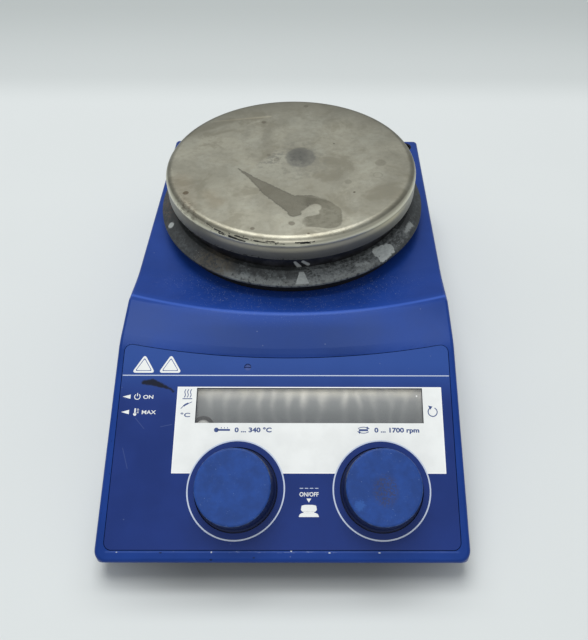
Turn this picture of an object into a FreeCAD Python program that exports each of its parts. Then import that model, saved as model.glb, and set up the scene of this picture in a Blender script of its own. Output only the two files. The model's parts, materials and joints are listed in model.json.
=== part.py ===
import FreeCAD, Part
import math
import os
import re

import Sketcher

Vector = FreeCAD.Vector

# ---------------------------------------------------------------------------
# Driving sizes: name, value in millimetres or degrees, what it is.
# The frame: +X to the user's right, +Y to the back, +Z up, with the origin on
# the table under the middle of the housing.
# "Along the panel" is measured up the sloping control panel from its front edge.
# ---------------------------------------------------------------------------
SIZES = [
    ("body_width", 160.0, "housing width at its lower edge"),
    ("body_depth", 266.4, "housing depth at its lower edge"),
    ("body_draft", 1.3, "draft of the outer walls"),
    ("front_corner", 5.0, "plan radius of the front corners"),
    ("rear_corner", 2.5, "plan radius of the rear corners"),
    ("edge_round", 1.8, "rounding along the top edges of the housing"),
    ("housing_base", 7.5, "height of the housing's lower edge"),
    ("deck_height", 52.0, "height of the flat deck under the plate"),
    ("wall", 3.0, "housing wall and deck thickness"),
    ("front_lip", 12.0, "thickness of the solid lip at the front"),
    ("bend_drop", 6.215, "bend at the panel's end below the ridge, in the middle"),
    ("panel_lip", 12.9, "height of the panel's front edge"),
    ("panel_setback", 0.2, "front edge of the panel behind the housing's foremost line"),
    ("lip_face", 1.5, "upright face of the front edge, below the panel's front edge"),
    ("lip_under", 2.8, "how far the front runs back under its edge"),
    ("roof_depth", 5.5, "housing thickness under the panel's face"),
    ("ridge_run", 18.83, "from the bend back to the ridge, in the middle"),
    ("ridge_bow", 12.5, "ridge ends further back than its middle"),
    ("ridge_rise", 3.8, "ridge above the deck, in the middle"),
    ("ridge_end_rise", 3.2, "ridge above the deck, at the sides"),
    ("ridge_round", 5.0, "rounding of the ridge"),
    ("hollow_length", 21.0, "from the ridge back to the deck"),
    ("hollow_round", 80.0, "concave rounding between ridge and deck"),
    ("bend_along", 92.0, "along the panel to the bend, in the middle"),
    ("bend_bow", 6.2, "bend ends further up the panel than its middle"),
    ("bend_round", 30.0, "rounding of the bend"),
    ("section_reach", 5.0, "roof sections outside the housing's sides"),
    ("roof_reach", 20.0, "roof cut beyond the housing's front and back"),
    ("seam_inset", 4.0, "panel recess inside the housing's sides"),
    ("seam_bottom", 4.0, "along the panel to the recess"),
    ("seam_top", 89.0, "along the panel to the top of the recess, in the middle"),
    ("seam_arc", 400.0, "radius of the recess's curved top"),
    ("seam_corner", 3.5, "corner radius of the recess"),
    ("seam_gap", 0.3, "gap round the panel in its recess"),
    ("panel_thickness", 3.6, "control panel plate"),
    ("foil_thickness", 0.4, "printed front foil"),
    ("ledge", 5.0, "ledge that the panel lies on"),
    ("opening_top", 79.0, "along the panel to the end of the housing's opening"),
    ("well_radius", 18.3, "round well under each knob"),
    ("well_floor", 1.2, "thickness of the well's floor"),
    ("knob_along", 29.2, "along the panel to the knobs"),
    ("knob_left_inset", 59.1, "temperature knob inside the housing's left side"),
    ("knob_right_inset", 37.2, "speed knob inside the housing's right side"),
    ("knob_radius", 17.8, "knob at its foot"),
    ("knob_top_radius", 16.2, "knob at its top"),
    ("knob_rise", 12.4, "knob above the panel"),
    ("knob_sink", 0.9, "knob's skirt below the panel's face"),
    ("knob_wall", 2.2, "knob wall"),
    ("knob_foot", 1.1, "height of the band at the knob's foot"),
    ("knob_step", 0.7, "how far the band stands out at the knob's foot"),
    ("knob_lean", 0.4, "how far the knob's inside widens to its foot"),
    ("knob_edge", 1.0, "rounding of the knob's top edge"),
    ("shaft_stop", 1.0, "end of the shaft below the knob's inner face"),
    ("shaft_seat", 1.0, "floor of the plunger's socket"),
    ("plunger_gap", 0.4, "play under a pressed plunger"),
    ("push_travel", 1.2, "travel of a pressed knob"),
    ("shaft_radius", 3.0, "encoder shaft"),
    ("running_gap", 0.05, "radial clearance of a shaft in its bearing"),
    ("press_gap", 0.02, "radial clearance of a pressed-on piece"),
    ("clear_gap", 0.3, "clearance between pieces that pass each other"),
    ("hub_radius", 5.2, "hub inside the knob"),
    ("bush_radius", 3.5, "threaded neck of an encoder"),
    ("nut_radius", 5.6, "encoder nut across its corners, half"),
    ("nut_thickness", 1.6, "encoder nut"),
    ("neck_proud", 0.2, "encoder neck above its nut"),
    ("encoder_side", 13.0, "encoder body, square"),
    ("encoder_height", 7.0, "encoder body below the panel"),
    ("plunger_radius", 4.6, "push plunger under an encoder shaft"),
    ("plunger_height", 3.2, "push plunger"),
    ("window_left_inset", 39.1, "display inside the housing's left side"),
    ("window_right_inset", 17.2, "display inside the housing's right side"),
    ("window_bottom", 58.1, "along the panel to the display"),
    ("window_top", 74.7, "along the panel to the display's far edge"),
    ("window_thickness", 1.6, "display window"),
    ("lcd_thickness", 1.7, "liquid crystal cell"),
    ("lcd_gap", 0.1, "between window, cell and panel"),
    ("holder_wall", 1.5, "wall of the cell's holder"),
    ("board_thickness", 1.6, "circuit boards"),
    ("board_left_gap", 8.1, "display board past the display, on the left"),
    ("board_right_gap", 8.2, "display board past the display, on the right"),
    ("board_bottom", 15.0, "along the panel to the display board"),
    ("board_top", 75.0, "along the panel to the display board's far edge"),
    ("board_notch", 11.0, "display board narrower beside the front boss"),
    ("board_notch_top", 45.0, "along the panel to where the board widens"),
    ("post_inset", 4.0, "board posts from the board's side edges"),
    ("post_radius", 3.0, "board posts"),
    ("lock_left", -17.9, "slotted panel screw from the centre line"),
    ("lock_inset", 4.6, "slotted panel screw below the top of the recess"),
    ("lock_radius", 1.6, "slotted panel screw"),
    ("lock_step", 0.4, "panel screw's shank inside its head"),
    ("lock_sink", 0.6, "panel screw's head below the panel's face"),
    ("lock_slot", 0.5, "panel screw's slot, wide"),
    ("plate_inset", 76.2, "plate axis in front of the housing's rear line"),
    ("plate_height", 33.0, "top of the plate above the deck"),
    ("plate_radius", 67.5, "heating plate"),
    ("plate_skirt", 12.0, "height of the plate's side"),
    ("plate_web", 6.0, "thickness of the plate in the middle"),
    ("plate_rim", 3.0, "thickness of the plate's side"),
    ("plate_round", 4.0, "rounding of the plate's upper edge"),
    ("heater_inset", 21.5, "middle of the heating element inside the plate's side"),
    ("heater_width", 7.0, "heating element"),
    ("heater_height", 5.0, "heating element"),
    ("heater_gap", 24.0, "angle left open between the element's ends"),
    ("clamp_thickness", 1.6, "clamp under the heating element"),
    ("standoff_inset", 12.5, "plate's standoffs inside its side"),
    ("standoff_radius", 4.0, "standoff"),
    ("stud_radius", 2.0, "threaded end of a standoff"),
    ("stud_length", 9.0, "threaded end of a standoff above its shoulder"),
    ("boss_radius", 5.0, "plate bosses that take the standoffs"),
    ("neck_inset", 4.0, "black neck inside the plate's side"),
    ("neck_wall", 2.5, "neck thickness"),
    ("neck_lap", 1.5, "neck's upper edge inside the plate's side"),
    ("skirt_reach", 5.3, "flared ring's lower edge outside the plate's side"),
    ("skirt_top_inset", 1.5, "flared ring's upper edge inside the plate's side"),
    ("skirt_lip", 0.9, "thickness of the flared ring's lower edge"),
    ("skirt_rise", 4.9, "height of the flared ring"),
    ("collar_reach", 0.5, "insulating collar outside the plate's side"),
    ("collar_height", 7.7, "insulating collar"),
    ("collar_seat", 2.5, "heat shield's seat below the collar's top"),
    ("collar_ledge", 1.4, "collar's bore inside the neck's, under the heat shield"),
    ("collar_step", 0.7, "heat shield's recess outside the neck's bore"),
    ("shield_thickness", 0.8, "heat shield"),
    ("disc_gap", 1.0, "insulation disc inside the heating element"),
    ("disc_thickness", 1.5, "insulation disc"),
    ("probe_radius", 2.5, "plate temperature sensor"),
    ("probe_length", 9.0, "plate temperature sensor"),
    ("wire_radius", 0.6, "sensor wires"),
    ("wire_length", 3.0, "sensor wires"),
    ("wire_spread", 1.1, "sensor wires from the sensor's axis"),
    ("motor_radius", 29.0, "motor can"),
    ("motor_bottom", 15.0, "height of the motor can's open end"),
    ("motor_drop", 8.0, "motor can's face below the top of the deck"),
    ("motor_wall", 2.0, "motor can"),
    ("cap_rise", 1.5, "end cap's hub below the can"),
    ("cap_wall", 2.5, "end cap's hub round the bearing"),
    ("bearing_lip", 0.6, "shaft clearance in the can's nose"),
    ("nose_radius", 8.0, "bearing seat on the motor's face"),
    ("bearing_radius", 6.5, "bearings"),
    ("bearing_height", 4.0, "bearings"),
    ("rotor_radius", 16.5, "motor rotor"),
    ("air_gap", 0.5, "between rotor and stator"),
    ("stator_inset", 5.0, "stator from the ends of the can"),
    ("slot_width", 6.0, "winding slots"),
    ("slot_depth", 5.0, "winding slots"),
    ("slot_count", 6, "winding slots"),
    ("slot_inset", 1.0, "winding slots outside the stator's bore"),
    ("coil_gap", 0.2, "coils inside their slots"),
    ("coil_overhang", 2.0, "coils past the ends of the stator"),
    ("rotor_inset", 1.0, "rotor inside the ends of the stator"),
    ("bracket_gap", 3.63, "motor bracket's ends inside the line of the standoffs"),
    ("bracket_depth", 68.0, "motor bracket"),
    ("bracket_thickness", 2.0, "motor bracket"),
    ("bracket_inset", 6.0, "bracket screws from the bracket's edges"),
    ("bracket_boss_radius", 4.0, "deck bosses that take the bracket screws"),
    ("motor_screw_circle", 18.0, "screws in the motor's face"),
    ("small_screw", 1.5, "small screws, radius"),
    ("small_head", 2.8, "small screw heads, radius"),
    ("small_head_height", 1.9, "small screw heads"),
    ("post_screw", 1.25, "display board screws, radius"),
    ("post_head", 2.5, "display board screw heads, radius"),
    ("post_head_height", 1.6, "display board screw heads"),
    ("overrun", 1.0, "cutting tools past the faces they cut through"),
    ("screw_gap", 0.05, "radial clearance of a screw in its hole"),
    ("carrier_length", 74.0, "magnet carrier"),
    ("carrier_width", 18.0, "magnet carrier"),
    ("carrier_thickness", 3.0, "magnet carrier"),
    ("magnet_gap", 3.5, "magnets below the insulation disc"),
    ("carrier_hub", 3.4, "carrier hub below the bar"),
    ("magnet_side", 17.0, "magnets, square"),
    ("magnet_height", 9.0, "magnets"),
    ("magnet_spread", 28.0, "magnet centres from the axis"),
    ("seal_radius", 9.0, "shaft seal on the deck"),
    ("seal_height", 2.5, "shaft seal"),
    ("seal_lip", 2.0, "wall of the seal's upper lip"),
    ("deck_hole", 5.5, "shaft hole in the deck, radius"),
    ("rod_side_inset", 10.5, "stand rod hole inside the housing's right side"),
    ("rod_inset", 8.5, "stand rod hole in front of the housing's rear line"),
    ("rod_bore", 4.25, "tapped bore for an M10 rod, radius"),
    ("rod_bush_radius", 5.2, "stand bush"),
    ("rod_bush_length", 30.0, "stand bush"),
    ("rod_chamfer", 0.6, "chamfer at the mouth of the tapped bore"),
    ("pan_floor", 4.0, "height of the base pan's underside"),
    ("pan_wall", 2.0, "base pan thickness"),
    ("pan_rim", 10.0, "height of the base pan's rim"),
    ("vent_width", 30.0, "air slots in the base pan"),
    ("vent_depth", 3.0, "air slots in the base pan"),
    ("vent_pitch", 8.0, "air slots apart"),
    ("pillar_wall", 2.0, "wall of the pan's board pillars"),
    ("foot_radius", 8.0, "rubber feet"),
    ("foot_inset", 12.0, "feet inside the housing's sides"),
    ("foot_front_inset", 33.2, "front feet behind the housing's front line"),
    ("foot_rear_inset", 27.2, "rear feet in front of the housing's rear line"),
    ("foot_chamfer", 0.8, "chamfer round a foot's underside"),
    ("foot_web", 1.0, "rubber between a base screw's head and the pan"),
    ("base_screw", 2.0, "base screws, radius"),
    ("base_head", 3.8, "base screw heads, radius"),
    ("base_head_height", 2.4, "base screw heads"),
    ("base_screw_length", 9.0, "base screws in the housing's bosses"),
    ("base_boss_radius", 4.5, "housing bosses that take the base screws"),
    ("main_board_inset", 12.0, "main board inside the housing's sides"),
    ("main_board_setback", 47.2, "main board behind the housing's front line"),
    ("main_board_rear", 20.0, "rear edge of the main board"),
    ("main_board_rise", 5.0, "main board above the pan's floor"),
    ("board_screw_inset", 7.0, "board screws from the main board's edges"),
    ("inlet_left", -38.0, "mains inlet from the centre line"),
    ("inlet_height", 29.0, "height of the rear connectors"),
    ("inlet_width", 27.0, "mains inlet body"),
    ("inlet_tall", 20.0, "mains inlet body"),
    ("inlet_length", 22.0, "mains inlet behind its face"),
    ("inlet_flange", 2.5, "mains inlet flange round the body"),
    ("flange_thickness", 1.8, "flanges of inlet and switch"),
    ("flange_sink", 0.8, "flanges below the housing's widest line"),
    ("socket_width", 24.0, "mains inlet hollow"),
    ("socket_tall", 16.5, "mains inlet hollow"),
    ("socket_depth", 16.0, "mains inlet hollow"),
    ("pin_width", 2.0, "inlet pins"),
    ("pin_tall", 4.0, "inlet pins"),
    ("pin_length", 11.0, "inlet pins in the hollow"),
    ("pin_pitch", 7.0, "inlet pins apart"),
    ("pin_stagger", 2.0, "pins above and below the inlet's middle"),
    ("sensor_right", 18.0, "sensor socket from the centre line"),
    ("sensor_radius", 8.0, "sensor socket"),
    ("sensor_length", 18.0, "sensor socket"),
    ("sensor_groove", 6.0, "inner radius of the sensor socket's groove"),
    ("groove_depth", 5.0, "sensor socket's groove and contact holes"),
    ("groove_wall", 1.0, "sensor socket outside its groove"),
    ("contact_circle", 3.5, "contact holes from the socket's axis"),
    ("contact_radius", 0.8, "contact holes"),
    ("switch_setback", 69.2, "mains switch behind the housing's front line"),
    ("switch_lower", 7.0, "mains switch below the middle of the side wall"),
    ("switch_width", 10.0, "mains switch body"),
    ("switch_tall", 19.0, "mains switch body"),
    ("switch_length", 16.0, "mains switch body"),
    ("switch_flange", 1.5, "mains switch flange round the body"),
    ("rocker_width", 6.4, "rocker"),
    ("rocker_half", 7.0, "half the length of the rocker"),
    ("rocker_tilt", 9.0, "rocker's tilt either side of level"),
    ("rocker_pivot", 5.2, "rocker pivot behind the switch's face"),
    ("rocker_pin", 1.0, "rocker pivot pin, radius"),
    ("rocker_room", 1.3, "room above and below the rocker"),
    ("rocker_reach", 10.0, "depth of the rocker's room"),
    ("rocker_axle", 1.2, "pivot pin past the rocker's sides"),
    ("rocker_back", 2.0, "rocker behind its pivot"),
    ("rocker_taper", 1.0, "rocker's back narrower than its face"),
    ("rocker_sink", 0.4, "rocker's edges below the switch's face"),
    ("rocker_dip", 1.6, "rocker's middle below the switch's face"),
    ("adjuster_setback", 54.7, "safe temperature adjuster behind the front line"),
    ("adjuster_height", 20.0, "height of the safe temperature adjuster"),
    ("adjuster_radius", 3.0, "safe temperature adjuster"),
    ("adjuster_sleeve", 4.5, "adjuster sleeve, radius"),
    ("adjuster_sleeve_length", 8.0, "adjuster sleeve"),
    ("adjuster_body", 12.0, "adjuster body, square"),
    ("adjuster_body_depth", 6.5, "adjuster body"),
    ("adjuster_sink", 0.6, "adjuster below the housing's side"),
    ("adjuster_bite", 1.2, "depth of the adjuster's slot"),
    ("slot_cut", 1.0, "screwdriver slots"),
    ("transformer_left", -30.0, "transformer from the centre line"),
    ("transformer_back", -14.0, "transformer from the middle of the housing"),
    ("transformer_width", 46.0, "transformer core"),
    ("transformer_depth", 38.0, "transformer core"),
    ("transformer_tall", 30.0, "transformer core"),
    ("bobbin_width", 29.4, "transformer bobbin"),
    ("bobbin_overhang", 4.0, "bobbin past the core's faces"),
    ("bobbin_gap", 0.2, "bobbin in the core's windows"),
    ("capacitor_radius", 8.0, "smoothing capacitors"),
    ("capacitor_tall", 26.0, "smoothing capacitors"),
    ("capacitor_right", 32.0, "first smoothing capacitor from the centre line"),
    ("capacitor_pitch", 19.0, "smoothing capacitors apart"),
    ("ribbon_width", 30.0, "ribbon cable"),
    ("ribbon_thickness", 1.0, "ribbon cable"),
    ("ribbon_along", 67.0, "along the panel to the ribbon cable"),
    ("ribbon_fold", 7.0, "ribbon cable from the board to its bend"),
    ("lead_radius", 1.4, "heater leads"),
    ("lead_clearance", 45.0, "heater leads beside the motor"),
    ("lead_drop", 14.0, "leads' first bend below the deck"),
    ("lead_low", 30.0, "leads' level run below the deck"),
    ("lead_slant", 16.0, "leads' first run towards the front"),
    ("lead_front", 30.0, "leads' bend in front of the plate axis"),
    ("lead_inset", 8.0, "leads' ends in front of the main board's rear edge"),
    ("lead_room", 8.0, "leads' ends beside the board screws"),
    ("lead_swing", 2.0, "leads' bends away from the motor and below the middle"),
    ("terminal_radius", 2.0, "heating element terminals"),
    ("terminal_length", 12.0, "heating element terminals"),
    ("terminal_angle", 4.0, "terminals from the ends of the heating element"),
]

# Places that follow from the driving sizes, as formulas in the same sheet.
FOLLOWING = [
    ("ridge_height", "deck_height + ridge_rise", "height of the ridge in the middle"),
    ("ridge_end_height", "deck_height + ridge_end_rise", "height of the ridge at the sides"),
    ("panel_angle", "asin((ridge_height - bend_drop - panel_lip)/bend_along)/1deg",
     "slope of the control panel"),
    ("ridge_line", "panel_setback - body_depth/2 + bend_along*cos(panel_angle) + ridge_run",
     "ridge from the middle of the housing"),
    ("seam_width", "body_width - 2*seam_inset", "width of the panel recess"),
    ("lock_along", "seam_top - lock_inset", "slotted panel screw along the panel"),
    ("rod_right", "body_width/2 - rod_side_inset", "stand rod hole from the centre line"),
    ("knob_left", "knob_left_inset - body_width/2", "temperature knob from the centre line"),
    ("knob_right", "body_width/2 - knob_right_inset", "speed knob from the centre line"),
    ("window_left", "window_left_inset - body_width/2", "left edge of the display"),
    ("window_right", "body_width/2 - window_right_inset", "right edge of the display"),
    ("board_left", "window_left - board_left_gap", "display board's left edge"),
    ("board_right", "window_right + board_right_gap", "display board's right edge"),
    ("board_notch_right", "board_right - board_notch", "display board's edge beside the front boss"),
    ("heater_radius", "plate_radius - heater_inset", "middle of the heating element"),
    ("standoff_circle", "plate_radius - standoff_inset", "circle that the plate's standoffs stand on"),
    ("neck_radius", "plate_radius - neck_inset", "black neck under the plate"),
    ("skirt_radius", "plate_radius + skirt_reach", "flared ring at its lower edge"),
    ("skirt_top_radius", "plate_radius - skirt_top_inset", "flared ring at its upper edge"),
    ("collar_radius", "plate_radius + collar_reach", "insulating collar on the deck"),
    ("switch_height", "(pan_rim + deck_height)/2 - switch_lower", "height of the mains switch"),
    ("disc_radius", "heater_radius - heater_width/2 - disc_gap", "insulation disc under the plate"),
    ("bracket_width", "2*(standoff_circle*cos(30) - bracket_gap)", "motor bracket"),
    ("plate_back", "body_depth/2 - plate_inset", "plate axis behind the middle of the housing"),
    ("overall_height", "deck_height + plate_height", "top of the plate"),
    ("motor_top", "deck_height - motor_drop", "height of the motor can's face"),
    ("carrier_height",
     "overall_height - plate_web - disc_thickness - magnet_gap - magnet_height - carrier_thickness",
     "height of the carrier's underside"),
    ("foot_side", "body_width/2 - foot_inset", "feet from the centre line"),
    ("foot_front", "body_depth/2 - foot_front_inset", "front feet in front of the middle"),
    ("foot_rear", "body_depth/2 - foot_rear_inset", "rear feet behind the middle"),
    ("main_board_side", "body_width/2 - main_board_inset", "half the width of the main board"),
    ("main_board_front", "main_board_setback - body_depth/2", "front edge of the main board"),
    ("switch_along", "switch_setback - body_depth/2", "mains switch from the middle"),
    ("adjuster_along", "adjuster_setback - body_depth/2", "safe temperature adjuster from the middle"),
]

doc = FreeCAD.newDocument("MagneticStirrer")
sheet = doc.addObject("Spreadsheet::Sheet", "Sizes")
followers = [(name, "=" + text, note) for name, text, note in FOLLOWING]
for row, (size_name, size_value, size_note) in enumerate(SIZES + followers, start=1):
    sheet.set(f"A{row}", size_name)
    sheet.set(f"B{row}", str(size_value))
    sheet.set(f"C{row}", size_note)
    sheet.setAlias(f"B{row}", size_name)
doc.recompute()

SIZE_WORD = re.compile(r"\b(" + "|".join(name for name, value, note in SIZES + FOLLOWING) + r")\b")
nodes = []


# ---------------------------------------------------------------------------
# Helpers. A formula is a text of size names and numbers, such as "wall + 2".
# ---------------------------------------------------------------------------
def formula(text):
    """The formula as an expression that refers to the sheet's cells."""
    return SIZE_WORD.sub(r"Sizes.\1", str(text))


def number(text):
    """The formula's value now."""
    return float(sheet.evalExpression(formula(text)))


def bind(item, **settings):
    """Binds properties to formulas; a double underscore stands for a dot."""
    for path, text in settings.items():
        item.setExpression(path.replace("__", "."), formula(text))


def place(item, x=0, y=0, z=0, axis=None, angle=0):
    """Binds the placement: a position and, if given, one rotation."""
    bind(item, Placement__Base__x=x, Placement__Base__y=y, Placement__Base__z=z)
    if axis:
        item.Placement = FreeCAD.Placement(Vector(), FreeCAD.Rotation(Vector(*axis), number(angle)))
        bind(item, Placement__Rotation__Angle=angle)
    return item


def keep(item, label):
    """Marks an object as a sub-part of the product, under its own label."""
    item.Label = label
    nodes.append(item)
    return item


def block(name, width, depth, height, x="0", y="0", z="0"):
    """A box centred on x and y, standing on z."""
    box = doc.addObject("Part::Box", name)
    bind(box, Length=width, Width=depth, Height=height)
    return place(box, f"{x} - ({width})/2", f"{y} - ({depth})/2", z)


def rod(name, radius, length, x="0", y="0", z="0", axis=None, angle=0):
    """A cylinder from its base point along +Z, or turned by one rotation."""
    cylinder = doc.addObject("Part::Cylinder", name)
    bind(cylinder, Radius=radius, Height=length)
    return place(cylinder, x, y, z, axis, angle)


def join(name, parts):
    """Several solids as one shape; touching ones become one solid."""
    if len(parts) == 1:
        return parts[0]
    union = doc.addObject("Part::MultiFuse", name)
    union.Shapes = parts
    return union


def group(name, parts):
    """Several separate solids under one name."""
    bundle = doc.addObject("Part::Compound", name)
    bundle.Links = parts
    return bundle


def cut(name, base, tools):
    """The base less all the tools."""
    result = doc.addObject("Part::Cut", name)
    result.Base = base
    result.Tool = join(name + "Tools", tools)
    return result


def new_body(name):
    return doc.addObject("PartDesign::Body", name)


def new_sketch(body, name, plane, offset="0"):
    """A sketch on one of the body's own origin planes, moved along its normal."""
    sketch = body.newObject("Sketcher::SketchObject", name)
    support = next(item for item in body.Origin.OriginFeatures if item.Role == plane)
    sketch.AttachmentSupport = (support, [""])
    sketch.MapMode = "FlatFace"
    bind(sketch, AttachmentOffset__Base__z=offset)
    return sketch


def pin_point(sketch, edge, end, across, up):
    """Holds one end of a sketch edge at two formulas from the sketch's origin."""
    for kind, text in (("DistanceX", across), ("DistanceY", up)):
        index = sketch.addConstraint(Sketcher.Constraint(kind, -1, 1, edge, end, number(text)))
        sketch.setExpression(f"Constraints[{index}]", formula(text))


def polygon(body, name, plane, corners, offset="0", arc_radius=None):
    """A closed outline of straight edges. With arc_radius the last edge, which
    runs back to the first corner, is an arc of that radius about a far centre."""
    sketch = new_sketch(body, name, plane, offset)
    spots = [Vector(number(across), number(up), 0) for across, up in corners]
    last = len(spots) - 1
    for index, start in enumerate(spots):
        end = spots[(index + 1) % len(spots)]
        edge = Part.LineSegment(start, end)
        if arc_radius and index == last:
            radius = number(arc_radius)
            sag = radius - math.sqrt(radius ** 2 - ((end - start).Length / 2) ** 2)
            edge = Part.Arc(start, (start + end) / 2 - Vector(0, sag, 0), end)
        sketch.addGeometry(edge, False)
    for index in range(len(spots)):
        following = (index + 1) % len(spots)
        ends = (2, 1)
        if arc_radius and index == last:
            ends = (1, 1)
        elif arc_radius and following == last:
            ends = (2, 2)
        sketch.addConstraint(Sketcher.Constraint("Coincident", index, ends[0], following, ends[1]))
    straight = last if arc_radius else last + 1
    for index, (across, up) in enumerate(corners[:straight]):
        pin_point(sketch, index, 1, across, up)
    if arc_radius:
        pin_point(sketch, last - 1, 2, *corners[last])
        index = sketch.addConstraint(Sketcher.Constraint("Radius", last, number(arc_radius)))
        sketch.setExpression(f"Constraints[{index}]", formula(arc_radius))
    return sketch


def pad(body, sketch, length, midplane=False):
    feature = body.newObject("PartDesign::Pad", sketch.Name + "Pad")
    feature.Profile = sketch
    feature.Midplane = midplane
    bind(feature, Length=length)
    sketch.Visibility = False
    return feature


def turned(name, section, angle="360"):
    """A body turned about Z from a section of (radius, height) corners."""
    body = new_body(name)
    sketch = polygon(body, name + "Section", "XZ_Plane", section)
    feature = body.newObject("PartDesign::Revolution", name + "Turn")
    feature.Profile = sketch
    feature.ReferenceAxis = (sketch, ["V_Axis"])
    bind(feature, Angle=angle)
    return body


def round_edges(body, radius, chosen, kind="PartDesign::Fillet"):
    """Rounds, or chamfers, those edges of the body's tip that chosen() picks."""
    doc.recompute()
    tip = body.Tip
    names = [f"Edge{index}" for index, edge in enumerate(tip.Shape.Edges, start=1) if chosen(edge)]
    feature = body.newObject(kind, f"{body.Name}Round{len(body.Group)}")
    feature.Base = (tip, names)
    bind(feature, **({"Radius": radius} if kind.endswith("Fillet") else {"Size": radius}))
    return feature


def is_circle(edge, radius, height):
    """Whether the edge is a level circle of that radius at that height."""
    curve = edge.Curve
    return (isinstance(curve, Part.Circle) and abs(curve.Radius - number(radius)) < 0.01
            and abs(curve.Center.z - number(height)) < 0.01)


def polar_places(radius, count, start):
    """Formulas for x and y of points evenly round the plate's axis."""
    turns = [f"({start} + {index}*360/{count})" for index in range(count)]
    return [(f"{radius}*cos{turn}", f"plate_back + {radius}*sin{turn}") for turn in turns]


def screw(name, radius, shank, head_radius, head_height, x, y, z, up=True):
    """A slotted pan screw whose head's seat is at z; up says where its shank points."""
    shank_rod = rod(name + "Shank", radius, shank)
    head = rod(name + "Head", head_radius, head_height, z=f"-({head_height})")
    slot = block(name + "Slot", f"3*{head_radius}", "slot_cut", f"{head_height}/2", z=f"-({head_height})")
    whole = cut(name, join(name + "Solid", [shank_rod, head]), [slot])
    return place(whole, x, y, z, (1, 0, 0), "0" if up else "180")


# Formulas that several pieces share.
HALF_WIDTH = "body_width/2"
HALF_DEPTH = "body_depth/2"
PANEL_Y = "(panel_setback - body_depth/2)"
PLATE_FOOT = "(overall_height - plate_skirt)"
WEB_FOOT = "(overall_height - plate_web)"
CLAMP_TOP = "(overall_height - plate_web - heater_height)"
CLAMP_FOOT = "(overall_height - plate_web - heater_height - clamp_thickness)"
COLLAR_TOP = "(deck_height + collar_height)"
SKIRT_TOP = "(deck_height + collar_height + skirt_rise)"
DECK_UNDER = "(deck_height - wall)"
PANEL_UNDER = "(foil_thickness + panel_thickness)"
BOARD_FACE = "(foil_thickness + panel_thickness + encoder_height)"
BOARD_BACK = "(foil_thickness + panel_thickness + encoder_height + board_thickness)"
REAR_IN = "(body_depth/2 - wall - flange_sink/2)"
SIDE_IN = "(body_width/2 - wall)"
FRONT_IN = "(front_lip - body_depth/2)"
PAN_TOP = "(pan_floor + pan_wall)"
MAIN_BOARD_FOOT = "(pan_floor + pan_wall + main_board_rise)"
MAIN_BOARD_TOP = "(pan_floor + pan_wall + main_board_rise + board_thickness)"
FACE_REAR = "(body_depth/2 - flange_sink)"
FACE_SIDE = "(body_width/2 - flange_sink)"
ROD_Y = "(body_depth/2 - rod_inset)"
KNOB_INSIDE = "(knob_rise - knob_wall)"
PLUNGER_FOOT = "(push_travel + plunger_gap - (foil_thickness + panel_thickness + encoder_height))"
TOOL = "4*wall"
FEET = {
    "front_left": ("-foot_side", "-foot_front"), "front_right": ("foot_side", "-foot_front"),
    "rear_left": ("-foot_side", "foot_rear"), "rear_right": ("foot_side", "foot_rear"),
}
KNOBS = {"temperature": "knob_left", "speed": "knob_right"}
# Heater leads leave the element's two terminals, either side of the gap in it.
LEADS = {side: (f"{sign}*heater_radius*sin(heater_gap/2 + terminal_angle)",
                "plate_back + heater_radius*cos(heater_gap/2 + terminal_angle)")
         for side, sign in (("left", -1), ("right", 1))}
STANDOFFS = polar_places("standoff_circle", 3, "-90")
MOTOR_SCREWS = polar_places("motor_screw_circle", 3, "90")
BRACKET_SCREWS = [(f"{side}*(bracket_width/2 - bracket_inset)",
                   f"plate_back + {end}*(bracket_depth/2 - bracket_inset)")
                  for side in (-1, 1) for end in (-1, 1)]
POSTS = [("board_left + post_inset", "board_bottom + post_inset"),
         ("board_left + post_inset", "board_top - post_inset"),
         ("board_notch_right - post_inset", "board_bottom + post_inset"),
         ("board_right - post_inset", "board_top - post_inset")]
MAIN_BOARD_SCREWS = [(f"{side}*(main_board_side - board_screw_inset)", end) for side in (-1, 1)
                     for end in ("main_board_front + board_screw_inset",
                                 "main_board_rear - board_screw_inset")]


def on_panel(item, across="0", along="0"):
    """Places a piece that is modelled with Z along the panel's outward normal. A
    plain box or cylinder keeps its own placement inside a group."""
    if item.TypeId in ("Part::Box", "Part::Cylinder"):
        item = group(item.Name + "Set", [item])
    return place(item, across, f"{PANEL_Y} + ({along})*cos(panel_angle)",
                 f"panel_lip + ({along})*sin(panel_angle)", (1, 0, 0), "panel_angle")


def under_panel(y, depth):
    """Height at y of a plane that lies depth below the panel's face."""
    return f"(panel_lip + ({y} - {PANEL_Y})*tan(panel_angle) - ({depth})/cos(panel_angle))"


# ---------------------------------------------------------------------------
# Housing
# ---------------------------------------------------------------------------
def roof_section(body, name, side):
    """What is cut away over the roof, in the plane x = side*(half width + reach):
    the panel's slope, the bend, the ridge, the hollow behind it and the deck."""
    bow = abs(side)
    bend = f"(bend_along + {bow}*bend_bow)"
    ridge_y = f"(ridge_line + {bow}*ridge_bow)"
    ridge_z = "ridge_end_height" if bow else "ridge_height"
    front, rear = f"(-{HALF_DEPTH} - roof_reach)", f"({HALF_DEPTH} + roof_reach)"
    corners = [
        (front, under_panel(front, "0")),
        (f"{PANEL_Y} + {bend}*cos(panel_angle)", f"panel_lip + {bend}*sin(panel_angle)"),
        (ridge_y, ridge_z),
        (f"{ridge_y} + hollow_length", "deck_height"),
        (rear, "deck_height"),
        (rear, "overall_height"),
        (front, "overall_height"),
    ]
    return polygon(body, name, "YZ_Plane", corners, f"{side}*({HALF_WIDTH} + section_reach)")


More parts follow.
